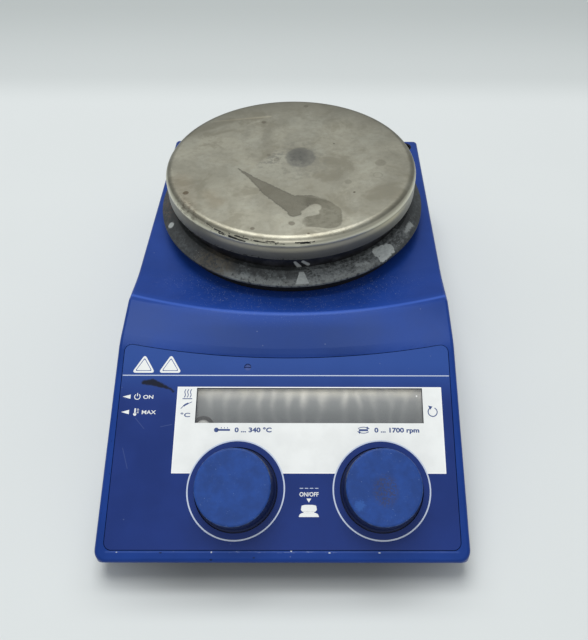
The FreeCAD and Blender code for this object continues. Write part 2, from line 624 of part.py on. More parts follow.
def make_outer_form():
    """The housing's outside as one solid: drafted block, shaped roof, rounded edges."""
    body = new_body("HousingForm")
    corners = [(f"{sx}*{HALF_WIDTH}", f"{sy}*{HALF_DEPTH}")
               for sx, sy in ((-1, -1), (1, -1), (1, 1), (-1, 1))]
    foot = polygon(body, "HousingFoot", "XY_Plane", corners, "housing_base")
    bulk = pad(body, foot, "overall_height - housing_base")
    bind(bulk, TaperAngle="-body_draft")

    def upright(edge, front):
        box = edge.BoundBox
        return box.ZLength > number("wall") and (box.Center.y < 0) == front

    def sharp(edge):
        box = edge.BoundBox
        return max(box.XLength, box.YLength) < number("wall")

    round_edges(body, "front_corner", lambda edge: upright(edge, True))
    round_edges(body, "rear_corner", lambda edge: upright(edge, False) and sharp(edge))
    middle = roof_section(body, "RoofMiddle", 0)
    left = roof_section(body, "RoofLeft", -1)
    right = roof_section(body, "RoofRight", 1)
    roof = body.newObject("PartDesign::SubtractiveLoft", "RoofCut")
    roof.Profile = left
    roof.Sections = [middle, right]
    doc.recompute()

    margin = number("bend_along")/6

    def across_roof(edge, low, high):
        box = edge.BoundBox
        return (box.XLength > number(HALF_WIDTH) and low < box.Center.y < high
                and number("deck_height") - margin < box.ZMin
                and box.ZMax < number("overall_height") - margin)

    ridge_middle = number("ridge_line + ridge_bow/2")
    bend_line = number(f"{PANEL_Y} + bend_along*cos(panel_angle)")
    split = (ridge_middle + bend_line) / 2
    hollow_line = ridge_middle + number("hollow_length")
    split_back = (ridge_middle + hollow_line) / 2
    round_edges(body, "hollow_round", lambda edge: across_roof(edge, split_back, hollow_line + margin))
    round_edges(body, "ridge_round", lambda edge: across_roof(edge, split, split_back))
    round_edges(body, "bend_round", lambda edge: across_roof(edge, bend_line - margin, split))

    def along_rim(edge):
        box = edge.BoundBox
        far = abs(box.Center.y) > number(f"{HALF_DEPTH} - front_lip")
        return box.ZMin > number("housing_base + overrun") and (far or box.XLength < number(HALF_WIDTH))

    round_edges(body, "edge_round", along_rim)
    return body


def make_undercut():
    """What is cut away under the front edge, so that the front runs back to the table."""
    body = new_body("Undercut")
    foot = "(housing_base - overrun)"
    edge, back = "(panel_lip - lip_face)", f"(lip_under - {HALF_DEPTH})"
    front = f"(-{HALF_DEPTH} - overrun)"
    corners = [(front, edge), (f"-{HALF_DEPTH}", edge), (back, "housing_base"), (back, foot),
               (front, foot)]
    pad(body, polygon(body, "UndercutSide", "YZ_Plane", corners), f"2*{HALF_WIDTH} + 2*overrun",
        midplane=True)
    return body


def seam_outline(body, name, offset, inset):
    """The panel's outline: straight bottom and sides, curved top."""
    side = f"(seam_width/2 - {inset})"
    shoulder = f"seam_top + seam_arc - sqrt(seam_arc^2 - {side}^2) - {inset}"
    foot = f"seam_bottom + {inset}"
    # The outline's last edge, from its last corner to its first, is the curved top.
    corners = [(f"-{side}", shoulder), (f"-{side}", foot), (side, foot), (side, shoulder)]
    return polygon(body, name, "XY_Plane", corners, offset, arc_radius="seam_arc")


def panel_slab(name, low, high, inset):
    """A slab of the panel's outline between two levels below its face."""
    body = new_body(name)
    pad(body, seam_outline(body, name + "Outline", low, inset), f"({high}) - ({low})")
    round_edges(body, f"seam_corner - {inset}",
                lambda edge: isinstance(edge.Curve, Part.Line)
                and edge.BoundBox.ZLength > number("foil_thickness")/2)
    return body


def make_housing():
    """The blue casting: outer form less its cavity, recess, opening and holes."""
    core = new_body("Core")
    roof_start = under_panel(FRONT_IN, "roof_depth")
    roof_end = (f"{PANEL_Y} + ({DECK_UNDER} - panel_lip + roof_depth/cos(panel_angle))"
                "/tan(panel_angle)")
    corners = [(FRONT_IN, "pan_floor"), (REAR_IN, "pan_floor"), (REAR_IN, DECK_UNDER),
               (roof_end, DECK_UNDER), (FRONT_IN, roof_start)]
    pad(core, polygon(core, "CoreSide", "YZ_Plane", corners), f"2*{SIDE_IN}", midplane=True)

    bosses = [rod(f"Boss_{name}", "base_boss_radius", "overall_height", x, y, "pan_floor + pan_wall")
              for name, (x, y) in FEET.items()]
    bosses += [rod(f"BracketBoss{index}", "bracket_boss_radius", "wall", x, y, f"{DECK_UNDER} - wall")
               for index, (x, y) in enumerate(BRACKET_SCREWS)]
    bosses.append(rod("RodBoss", "rod_bush_radius + wall", "overall_height", "rod_right", ROD_Y,
                      "deck_height - rod_bush_length - wall"))
    switch_pad = block("SwitchPad", "wall", f"-2*({FRONT_IN})", "switch_tall + 2*wall",
                       f"wall/2 - {SIDE_IN}", "0", "switch_height - switch_tall/2 - wall")
    pad_end = block("SwitchPadEnd", "2*wall",
                    "switch_along - adjuster_along + adjuster_body + switch_width",
                    "overall_height", f"-{SIDE_IN}", "(switch_along + adjuster_along)/2")
    thick = doc.addObject("Part::MultiCommon", "SwitchThickening")
    thick.Shapes = [switch_pad, pad_end]
    cavity = cut("Cavity", core, bosses + [thick])

    recess = on_panel(panel_slab("Recess", f"-{PANEL_UNDER}", "panel_thickness", "0"))
    opening_bottom = "seam_bottom + ledge"
    opening = on_panel(block("Opening", "seam_width - 2*ledge", f"opening_top - ({opening_bottom})",
                             "roof_depth", "0", f"(opening_top + {opening_bottom})/2",
                             f"-{PANEL_UNDER} - roof_depth"))
    tools = [cavity, recess, opening, make_undercut()]
    tools.append(rod("CollarSeat", "collar_radius + clear_gap", "ridge_height - deck_height + overrun",
                     "0", "plate_back", "deck_height"))
    tools.append(rod("ShaftHole", "deck_hole", TOOL, "0", "plate_back", f"{DECK_UNDER} - wall"))
    tools.append(rod("RodHole", "rod_bush_radius", "rod_bush_length + overrun", "rod_right", ROD_Y,
                     "deck_height - rod_bush_length"))
    tools += [rod(f"BaseHole_{name}", "base_screw + screw_gap", "base_screw_length + overrun", x,
                  y, f"{PAN_TOP} - overrun") for name, (x, y) in FEET.items()]
    tools += [rod(f"StandoffHole{index}", "stud_radius + screw_gap", TOOL, x, y,
                  f"{DECK_UNDER} - wall") for index, (x, y) in enumerate(STANDOFFS)]
    tools += [rod(f"BracketHole{index}", "small_screw + screw_gap", "1.5*wall + overrun", x, y,
                  f"{DECK_UNDER} - wall - overrun") for index, (x, y) in enumerate(BRACKET_SCREWS)]
    tools += [rod(f"LeadHole{side}", "lead_radius + clear_gap", TOOL, x, y, f"{DECK_UNDER} - wall")
              for side, (x, y) in LEADS.items()]
    tools.append(on_panel(rod("LockHole", "lock_radius - lock_step + screw_gap", "2*wall + overrun",
                              z=f"-{PANEL_UNDER} - 2*wall"), "lock_left", "lock_along"))
    tools += rear_cuts() + side_cuts()
    keep(cut("UpperHousing", make_outer_form(), tools), "upper_housing")


def rear_cuts():
    """Cuts in the rear wall for the mains inlet and the sensor socket."""
    low = "inlet_height - inlet_tall/2"
    flange = block("InletSeat", "inlet_width + 2*inlet_flange + 2*press_gap", "2*flange_thickness",
                   "inlet_tall + 2*inlet_flange + 2*press_gap", "inlet_left", FACE_REAR,
                   f"{low} - inlet_flange - press_gap")
    hole = block("InletHole", "inlet_width + 2*press_gap", f"2*{TOOL}", "inlet_tall + 2*press_gap",
                 "inlet_left", FACE_REAR, f"{low} - press_gap")
    socket = rod("SensorHole", "sensor_radius + press_gap", f"2*{TOOL}", "sensor_right",
                 f"{FACE_REAR} + {TOOL}", "inlet_height", (1, 0, 0), "90")
    return [flange, hole, socket]


def side_cuts():
    """Cuts in the left wall for the mains switch and the adjuster."""
    low = "switch_height - switch_tall/2"
    seat = block("SwitchSeat", "2*flange_thickness + 2*flange_sink",
                 "switch_width + 2*switch_flange + 2*press_gap",
                 "switch_tall + 2*switch_flange + 2*press_gap", f"-{FACE_SIDE} - flange_sink",
                 "switch_along", f"{low} - switch_flange - press_gap")
    hole = block("SwitchHole", f"2*{TOOL}", "switch_width + 2*press_gap", "switch_tall + 2*press_gap",
                 f"-{FACE_SIDE}", "switch_along", f"{low} - press_gap")
    sleeve = rod("AdjusterHole", "adjuster_sleeve + press_gap", f"2*{TOOL}",
                 f"-{FACE_SIDE} - 2*wall", "adjuster_along", "adjuster_height", (0, 1, 0), "90")
    return [seat, hole, sleeve]


def make_base():
    """Base pan with its board pillars, four rubber feet and their screws."""
    depth = f"({REAR_IN} - ({FRONT_IN}) - 2*clear_gap)"
    middle = f"({REAR_IN} + ({FRONT_IN}))/2"
    width = f"(2*{SIDE_IN} - 2*clear_gap)"
    bulk = block("PanBulk", width, depth, "pan_rim - pan_floor", "0", middle, "pan_floor")
    hollow = block("PanHollow", f"{width} - 2*pan_wall", f"{depth} - 2*pan_wall", "pan_rim", "0",
                   middle, PAN_TOP)
    tray = cut("PanTray", bulk, [hollow])
    pillars = [rod(f"Pillar{index}", "small_screw + pillar_wall", "main_board_rise + pan_wall/2", x, y,
                   f"{PAN_TOP} - pan_wall/2") for index, (x, y) in enumerate(MAIN_BOARD_SCREWS)]
    solid = join("PanSolid", [tray] + pillars)
    tools = [rod(f"PillarHole{index}", "small_screw + screw_gap", "main_board_rise + overrun", x, y,
                 PAN_TOP) for index, (x, y) in enumerate(MAIN_BOARD_SCREWS)]
    tools += [rod(f"PanHole_{name}", "base_screw + screw_gap", "2*pan_wall", x, y,
                  "pan_floor - pan_wall/2") for name, (x, y) in FEET.items()]
    tools += [block(f"Vent{index}", "vent_width", "vent_depth", "3*pan_wall", "0",
                    f"plate_back + ({index} - 1.5)*vent_pitch", "pan_floor - pan_wall")
              for index in range(4)]
    keep(cut("BasePan", solid, tools), "base_pan")

    screws = []
    for name, (x, y) in FEET.items():
        foot = turned(f"Foot_{name}", [
            ("base_head + clear_gap", "0"), ("foot_radius - foot_chamfer", "0"),
            ("foot_radius", "foot_chamfer"), ("foot_radius", "pan_floor"),
            ("base_screw + screw_gap", "pan_floor"),
            ("base_screw + screw_gap", "pan_floor - foot_web"),
            ("base_head + clear_gap", "pan_floor - foot_web")])
        keep(place(foot, x, y, "0"), f"foot_{name}")
        screws.append(screw(f"BaseScrew_{name}", "base_screw",
                            "base_screw_length + pan_wall + foot_web/2", "base_head",
                            "base_head_height", x, y, "pan_floor - foot_web"))
    keep(group("BaseScrews", screws), "base_screws")


# ---------------------------------------------------------------------------
# Control panel, display and knobs
# ---------------------------------------------------------------------------
def display_cut(name, low, high, gap="0"):
    """A box as large as the display, between two levels below the panel's face."""
    return block(name, f"window_right - window_left - 2*({gap})",
                 f"window_top - window_bottom - 2*({gap})", f"({high}) - ({low})",
                 "(window_left + window_right)/2", "(window_bottom + window_top)/2", low)


def make_panel():
    """Panel plate with wells, posts and display opening, and the printed foil on it."""
    plate = panel_slab("PanelPlate", f"-{PANEL_UNDER}", "-foil_thickness", "seam_gap")
    posts = [rod(f"Post{index}", "post_radius", "encoder_height + panel_thickness/2", x, y,
                 f"-{BOARD_FACE}") for index, (x, y) in enumerate(POSTS)]
    solid = join("PanelSolid", [plate] + posts)
    tools = [display_cut("PanelDisplayCut", f"-{PANEL_UNDER} - overrun", "0")]
    foil_tools = [display_cut("FoilDisplayCut", "-overrun", "overrun")]
    for name, x in KNOBS.items():
        tools.append(rod(f"Well_{name}", "well_radius", "panel_thickness", x, "knob_along",
                         f"-{PANEL_UNDER} + well_floor"))
        tools.append(rod(f"BushHole_{name}", "bush_radius + screw_gap", "2*panel_thickness", x,
                         "knob_along", f"-{PANEL_UNDER} - overrun"))
        foil_tools.append(rod(f"FoilHole_{name}", "well_radius", "2*overrun", x, "knob_along",
                              "-overrun"))
    tools += [rod(f"PostHole{index}", "post_screw + screw_gap", "encoder_height - overrun",
                  x, y, f"-{BOARD_FACE} - overrun") for index, (x, y) in enumerate(POSTS)]
    tools.append(rod("LockSeat", "lock_radius + screw_gap", "2*panel_thickness", "lock_left",
                     "lock_along", f"-{PANEL_UNDER} - overrun"))
    foil_tools.append(rod("FoilLock", "lock_radius + screw_gap", "2*overrun", "lock_left", "lock_along",
                          "-overrun"))
    keep(on_panel(cut("ControlPanel", solid, tools)), "control_panel")
    foil = panel_slab("FoilSlab", "-foil_thickness", "0", "seam_gap")
    keep(on_panel(cut("PanelFoil", foil, foil_tools)), "panel_foil")

    head = rod("LockHead", "lock_radius", f"{PANEL_UNDER} - lock_sink", z=f"-{PANEL_UNDER}")
    shank = rod("LockShank", "lock_radius - lock_step", "wall + overrun", z=f"-{PANEL_UNDER} - wall")
    slot = block("LockSlot", "3*lock_radius", "lock_slot", "2*lock_slot", z="-lock_sink - lock_slot")
    lock = cut("LockScrew", join("LockSolid", [head, shank]), [slot])
    keep(on_panel(lock, "lock_left", "lock_along"), "panel_screw")


def make_display():
    """Window in the panel, liquid crystal cell under it and the cell's holder."""
    window_foot = "(-window_thickness)"
    cell_foot = f"({window_foot} - lcd_gap - lcd_thickness)"
    keep(on_panel(display_cut("DisplayWindow", window_foot, "0", "lcd_gap")), "display_window")
    keep(on_panel(display_cut("LcdCell", cell_foot, f"{window_foot} - lcd_gap", "clear_gap")), "lcd_cell")
    frame = display_cut("HolderBulk", f"-{BOARD_FACE}", cell_foot, "clear_gap")
    hollow = display_cut("HolderHollow", f"-{BOARD_FACE} - overrun", f"{cell_foot} - overrun",
                         "clear_gap + holder_wall")
    keep(on_panel(cut("LcdHolder", frame, [hollow])), "lcd_holder")


def make_knob(name, x):
    """One control: knob on its shaft, push plunger, encoder and nut."""
    bore, socket = "shaft_radius + press_gap", f"{KNOB_INSIDE} - shaft_stop"
    knob = turned(f"Knob_{name}", [
        ("0", "knob_rise"), ("0", socket), (bore, socket), (bore, "knob_foot/2"),
        ("hub_radius", "knob_foot/2"), ("hub_radius", KNOB_INSIDE),
        ("knob_top_radius - knob_wall", KNOB_INSIDE),
        ("knob_radius - knob_wall - knob_lean", "-knob_sink"), ("knob_radius", "-knob_sink"),
        ("knob_radius", "knob_foot/2"), ("knob_radius - knob_step", "knob_foot"),
        ("knob_top_radius", "knob_rise")])
    round_edges(knob, "knob_edge", lambda edge: is_circle(edge, "knob_top_radius", "knob_rise"))
    keep(on_panel(knob, x, "knob_along"), f"{name}_knob")

    shaft_foot = f"({PLUNGER_FOOT} + shaft_seat)"
    shaft = rod(f"Shaft_{name}", "shaft_radius", f"{socket} - press_gap - {shaft_foot}", z=shaft_foot)
    keep(on_panel(shaft, x, "knob_along"), f"{name}_shaft")

    pivot_well = f"{shaft_foot} - clear_gap"
    plunger = turned(f"Plunger_{name}", [
        ("0", PLUNGER_FOOT), ("plunger_radius", PLUNGER_FOOT),
        ("plunger_radius", f"{PLUNGER_FOOT} + plunger_height"),
        ("shaft_radius + running_gap", f"{PLUNGER_FOOT} + plunger_height"),
        ("shaft_radius + running_gap", pivot_well), ("0", pivot_well)])
    keep(on_panel(plunger, x, "knob_along"), f"{name}_plunger")

    case = block(f"EncoderCase_{name}", "encoder_side", "encoder_side", "encoder_height",
                 z=f"-{BOARD_FACE}")
    neck = rod(f"EncoderNeck_{name}", "bush_radius", "well_floor + nut_thickness + neck_proud",
               z=f"-{PANEL_UNDER}")
    chamber = rod(f"EncoderChamber_{name}", "plunger_radius + clear_gap",
                  "push_travel + plunger_gap + plunger_height + clear_gap + overrun",
                  z=f"-{BOARD_FACE} - overrun")
    bore = rod(f"EncoderBore_{name}", "shaft_radius + running_gap", "3*encoder_height",
               z=f"-{BOARD_FACE} - overrun")
    encoder = cut(f"Encoder_{name}", join(f"EncoderSolid_{name}", [case, neck]), [chamber, bore])
    keep(on_panel(encoder, x, "knob_along"), f"{name}_encoder")

    hexagon = doc.addObject("Part::Prism", f"NutForm_{name}")
    hexagon.Polygon = 6
    bind(hexagon, Circumradius="nut_radius", Height="nut_thickness",
         Placement__Base__z=f"-{PANEL_UNDER} + well_floor")
    thread = rod(f"NutBore_{name}", "bush_radius + screw_gap", "3*nut_thickness",
                 z=f"-{PANEL_UNDER}")
    return on_panel(cut(f"Nut_{name}", hexagon, [thread]), x, "knob_along")


def make_display_board():
    """Display board behind the panel, with the ribbon cable down to the main board."""
    board = new_body("DisplayBoardBulk")
    pad(board, polygon(board, "DisplayBoardOutline", "XY_Plane", [
        ("board_left", "board_bottom"), ("board_notch_right", "board_bottom"),
        ("board_notch_right", "board_notch_top"), ("board_right", "board_notch_top"),
        ("board_right", "board_top"), ("board_left", "board_top")], f"-{BOARD_BACK}"),
        "board_thickness")
    holes = [rod(f"BoardHole{index}", "post_screw + screw_gap", "3*board_thickness", x, y,
                 f"-{BOARD_BACK} - overrun") for index, (x, y) in enumerate(POSTS)]
    keep(on_panel(cut("DisplayBoard", board, holes)), "display_board")

    body = new_body("RibbonCable")
    start_y = f"({PANEL_Y} + ribbon_along*cos(panel_angle) + {BOARD_BACK}*sin(panel_angle))"
    start_z = f"(panel_lip + ribbon_along*sin(panel_angle) - {BOARD_BACK}*cos(panel_angle))"
    fold_y = f"({start_y} + ribbon_fold*sin(panel_angle))"
    fold_z = f"({start_z} - ribbon_fold*cos(panel_angle))"
    side = polygon(body, "RibbonSide", "YZ_Plane", [
        (start_y, start_z), (fold_y, fold_z), (fold_y, MAIN_BOARD_TOP),
        (f"{fold_y} + ribbon_thickness", MAIN_BOARD_TOP),
        (f"{fold_y} + ribbon_thickness", f"{fold_z} + ribbon_thickness*tan(panel_angle/2)"),
        (f"{start_y} + ribbon_thickness*cos(panel_angle)",
         f"{start_z} + ribbon_thickness*sin(panel_angle)")])
    pad(body, side, "ribbon_width", midplane=True)
    keep(place(body, "(board_left + board_right)/2", "0", "0"), "ribbon_cable")


# ---------------------------------------------------------------------------
# Heating plate and what carries it
# ---------------------------------------------------------------------------
def make_plate():
    """Heating plate with its bosses, the element under it, its clamp and sensor."""
    inside = "plate_radius - plate_rim"
    cap = turned("PlateCap", [
        ("0", "overall_height"), ("0", WEB_FOOT), (inside, WEB_FOOT), (inside, PLATE_FOOT),
        ("plate_radius", PLATE_FOOT), ("plate_radius", "overall_height")])
    round_edges(cap, "plate_round", lambda edge: is_circle(edge, "plate_radius", "overall_height"))
    place(cap, "0", "plate_back", "0")
    bosses = [rod(f"PlateBoss{index}", "boss_radius", "heater_height + overrun", x, y, CLAMP_TOP)
              for index, (x, y) in enumerate(STANDOFFS)]
    holes = [rod(f"PlateHole{index}", "stud_radius + screw_gap", "stud_length + overrun", x, y,
                 f"{CLAMP_TOP} - overrun") for index, (x, y) in enumerate(STANDOFFS)]
    keep(cut("HeatingPlate", join("PlateSolid", [cap] + bosses), holes), "heating_plate")

    near, far = "(heater_radius - heater_width/2)", "(heater_radius + heater_width/2)"
    ring = turned("HeaterRing", [(near, CLAMP_TOP), (far, CLAMP_TOP), (far, WEB_FOOT),
                                 (near, WEB_FOOT)], "360 - heater_gap")
    place(ring, "0", "plate_back", "0", (0, 0, 1), "90 + heater_gap/2")
    terminals = [rod(f"Terminal_{side}", "terminal_radius", "terminal_length + overrun", x, y,
                     f"{CLAMP_TOP} - terminal_length") for side, (x, y) in LEADS.items()]
    keep(join("HeatingElement", [ring] + terminals), "heating_element")

    within, beyond = f"{near} - clear_gap", "standoff_circle + standoff_radius"
    clamp = turned("ClampRing", [(within, CLAMP_FOOT), (beyond, CLAMP_FOOT), (beyond, CLAMP_TOP),
                                 (within, CLAMP_TOP)], "360 - 2*heater_gap")
    place(clamp, "0", "plate_back", "0", (0, 0, 1), "90 + heater_gap")
    clamp_holes = [rod(f"ClampHole{index}", "stud_radius + screw_gap", "3*clamp_thickness", x, y,
                       f"{CLAMP_FOOT} - clamp_thickness") for index, (x, y) in enumerate(STANDOFFS)]
    keep(cut("HeaterClamp", clamp, clamp_holes), "heater_clamp")

    keep(rod("InsulationDisc", "disc_radius", "disc_thickness", "0", "plate_back",
             f"{WEB_FOOT} - disc_thickness"), "insulation_disc")
    probe = rod("Probe", "probe_radius", "probe_length", "0", "plate_back + heater_radius",
                f"{WEB_FOOT} - probe_length")
    wires = [rod(f"ProbeWire{side}", "wire_radius", "wire_length + overrun", f"{side}*wire_spread",
                 "plate_back + heater_radius", f"{WEB_FOOT} - probe_length - wire_length")
             for side in (-1, 1)]
    keep(join("TemperatureSensor", [probe] + wires), "temperature_sensor")


def make_plate_carriers():
    """Collar, flared ring, neck, heat shield, standoffs and their screws."""
    inner = "(neck_radius - neck_wall)"
    seat = f"({COLLAR_TOP} - collar_seat)"
    ledge, recess = f"({inner} - collar_ledge)", f"({inner} + collar_step)"
    collar = turned("Collar", [
        (ledge, "deck_height"), ("collar_radius", "deck_height"), ("collar_radius", COLLAR_TOP),
        (recess, COLLAR_TOP), (recess, seat), (ledge, seat)])
    keep(place(collar, "0", "plate_back", "0"), "insulating_collar")

    skirt = turned("SkirtRing", [
        (inner, COLLAR_TOP), ("skirt_radius", COLLAR_TOP), ("skirt_radius", f"{COLLAR_TOP} + skirt_lip"),
        ("skirt_top_radius", SKIRT_TOP), (inner, SKIRT_TOP)])
    keep(place(skirt, "0", "plate_back", "0"), "skirt_ring")

    neck_top = f"{PLATE_FOOT} + neck_lap"
    neck = turned("NeckRing", [(inner, SKIRT_TOP), ("neck_radius", SKIRT_TOP),
                               ("neck_radius", neck_top), (inner, neck_top)])
    keep(place(neck, "0", "plate_back", "0"), "neck_ring")

    shield = rod("ShieldDisc", f"{recess} - clear_gap", "shield_thickness", "0", "plate_back",
                 seat)
    holes = [rod("ShieldHole", "deck_hole", "3*shield_thickness", "0", "plate_back",
                 f"{seat} - shield_thickness")]
    holes += [rod(f"ShieldHole{index}", "standoff_radius + clear_gap", "3*shield_thickness", x, y,
                  f"{seat} - shield_thickness") for index, (x, y) in enumerate(STANDOFFS)]
    holes += [rod(f"ShieldLead_{side}", "lead_radius + clear_gap", "3*shield_thickness", x, y,
                  f"{seat} - shield_thickness") for side, (x, y) in LEADS.items()]
    keep(cut("HeatShield", shield, holes), "heat_shield")

    standoffs, screws = [], []
    for index, (x, y) in enumerate(STANDOFFS):
        standoff = turned(f"Standoff{index}", [
            ("stud_radius + screw_gap", "deck_height"), ("standoff_radius", "deck_height"),
            ("standoff_radius", CLAMP_FOOT), ("stud_radius", CLAMP_FOOT),
            ("stud_radius", f"{CLAMP_FOOT} + stud_length"), ("0", f"{CLAMP_FOOT} + stud_length"),
            ("0", "deck_height + stud_length"),
            ("stud_radius + screw_gap", "deck_height + stud_length")])
        standoffs.append(place(standoff, x, y, "0"))
        screws.append(screw(f"StandoffScrew{index}", "stud_radius", "wall + stud_length - overrun",
                            "base_head", "base_head_height", x, y, DECK_UNDER))
    keep(group("PlateStandoffs", standoffs), "plate_standoffs")
    keep(group("StandoffScrews", screws), "standoff_screws")


# ---------------------------------------------------------------------------
# Stirring drive
# ---------------------------------------------------------------------------
def make_motor():
    """Motor can, end cap, bearings, stator, windings and rotor."""
    inside = "(motor_radius - motor_wall)"
    bearing_low = "(motor_top - motor_wall)"
    bearing_top = f"({bearing_low} + bearing_height)"
    nose_top = f"{bearing_top} + overrun"
    lip = "(shaft_radius + bearing_lip)"
    can = turned("MotorCan", [
        (inside, "motor_bottom"), ("motor_radius", "motor_bottom"), ("motor_radius", "motor_top"),
        ("nose_radius", "motor_top"), ("nose_radius", nose_top), (lip, nose_top),
        (lip, bearing_top), ("bearing_radius", bearing_top), ("bearing_radius", bearing_low),
        (inside, bearing_low)])
    holes = [rod(f"FaceHole{index}", "small_screw + screw_gap", "3*motor_wall", x, y,
                 "motor_top - 2*motor_wall") for index, (x, y) in enumerate(MOTOR_SCREWS)]
    keep(cut("MotorCanDrilled", place(can, "0", "plate_back", "0"), holes), "motor_can")

    cap_hub, pressed = "(bearing_radius + cap_wall)", f"({inside} - press_gap)"
    cap = turned("MotorEndCap", [
        ("0", "motor_bottom - cap_rise"), (cap_hub, "motor_bottom - cap_rise"),
        (cap_hub, "motor_bottom"), (pressed, "motor_bottom"), (pressed, "motor_bottom + motor_wall"),
        (cap_hub, "motor_bottom + motor_wall"), (cap_hub, "motor_bottom + bearing_height"),
        ("bearing_radius", "motor_bottom + bearing_height"), ("bearing_radius", "motor_bottom"),
        ("0", "motor_bottom")])
    keep(place(cap, "0", "plate_back", "0"), "motor_end_cap")

    bearings = []
    for name, low in (("Lower", "motor_bottom"), ("Upper", bearing_low)):
        ring = turned(f"Bearing{name}", [
            ("shaft_radius + running_gap", low), ("bearing_radius - press_gap", low),
            ("bearing_radius - press_gap", f"{low} + bearing_height"),
            ("shaft_radius + running_gap", f"{low} + bearing_height")])
        bearings.append(place(ring, "0", "plate_back", "0"))
    keep(group("MotorBearings", bearings), "motor_bearings")

    stator_low = "(motor_bottom + stator_inset)"
    stator_tall = "(motor_top - motor_bottom - 2*stator_inset)"
    stator_top = "(motor_top - stator_inset)"
    stack_in = "(rotor_radius + air_gap)"
    stack = turned("StatorStack", [
        (stack_in, stator_low), (pressed, stator_low), (pressed, stator_top), (stack_in, stator_top)])
    place(stack, "0", "plate_back", "0")
    slots, coils = [], []
    for index in range(int(number("slot_count"))):
        for made, name, past, gap in ((slots, "Slot", "overrun", "0"),
                                      (coils, "Coil", "coil_overhang", "coil_gap")):
            piece = block(f"{name}{index}", f"slot_depth - 2*{gap}", f"slot_width - 2*{gap}",
                          f"{stator_tall} + 2*{past}", f"{stack_in} + slot_inset + slot_depth/2", "0",
                          f"{stator_low} - {past}")
            made.append(place(group(f"{name}{index}Turned", [piece]), "0", "plate_back", "0",
                              (0, 0, 1), f"{index}*360/slot_count"))
    keep(cut("MotorStator", stack, slots), "motor_stator")
    keep(group("MotorWindings", coils), "motor_windings")

    rotor_low, rotor_top = f"{stator_low} + rotor_inset", f"{stator_top} - rotor_inset"
    rotor = turned("MotorRotor", [
        ("shaft_radius + press_gap", rotor_low), ("rotor_radius", rotor_low),
        ("rotor_radius", rotor_top), ("shaft_radius + press_gap", rotor_top)])
    keep(place(rotor, "0", "plate_back", "0"), "motor_rotor")

    shaft_top = "carrier_height + carrier_thickness + overrun"
    keep(rod("MotorShaft", "shaft_radius", f"{shaft_top} - motor_bottom - clear_gap", "0", "plate_back",
             "motor_bottom + clear_gap"), "motor_shaft")


def make_drive():
    """Motor bracket with its screws, shaft seal, magnet carrier and magnets."""
    bracket = block("BracketPlate", "bracket_width", "bracket_depth", "bracket_thickness", "0",
                    "plate_back", "motor_top")
    holes = [rod("NoseHole", "nose_radius + clear_gap", "3*bracket_thickness", "0", "plate_back",
                 "motor_top - bracket_thickness")]
    screws = []
    for index, (x, y) in enumerate(MOTOR_SCREWS):
        holes.append(rod(f"FaceScrewHole{index}", "small_screw + screw_gap", "3*bracket_thickness",
                         x, y, "motor_top - bracket_thickness"))
        screws.append(screw(f"FaceScrew{index}", "small_screw", "bracket_thickness + motor_wall",
                            "small_head", "small_head_height", x, y,
                            "motor_top + bracket_thickness", up=False))
    for index, (x, y) in enumerate(BRACKET_SCREWS):
        holes.append(rod(f"DeckScrewHole{index}", "small_screw + screw_gap", "3*bracket_thickness",
                         x, y, "motor_top - bracket_thickness"))
        screws.append(screw(f"DeckScrew{index}", "small_screw", "bracket_thickness + wall",
                            "small_head", "small_head_height", x, y, "motor_top"))
    keep(cut("MotorBracket", bracket, holes), "motor_bracket")
    keep(group("MotorScrews", screws), "motor_screws")

    seal = turned("ShaftSeal", [
        ("shaft_radius + clear_gap", "deck_height"), ("seal_radius", "deck_height"),
        ("seal_radius", "deck_height + seal_height/2"),
        ("shaft_radius + seal_lip", "deck_height + seal_height"),
        ("shaft_radius + clear_gap", "deck_height + seal_height")])
    keep(place(seal, "0", "plate_back", "0"), "shaft_seal")

    bar = block("CarrierBar", "carrier_length", "carrier_width", "carrier_thickness", "0",
                "plate_back", "carrier_height")
    hub = rod("CarrierHub", "nose_radius", "carrier_hub + overrun", "0", "plate_back",
              "carrier_height - carrier_hub")
    bore = rod("CarrierBore", "shaft_radius + press_gap", "overall_height", "0", "plate_back", "0")
    keep(cut("MagnetCarrier", join("CarrierSolid", [bar, hub]), [bore]), "magnet_carrier")
    magnets = [block(f"Magnet{name}", "magnet_side", "magnet_side", "magnet_height",
                     f"{side}*magnet_spread", "plate_back", "carrier_height + carrier_thickness")
               for name, side in (("North", -1), ("South", 1))]
    keep(group("DriveMagnets", magnets), "drive_magnets")


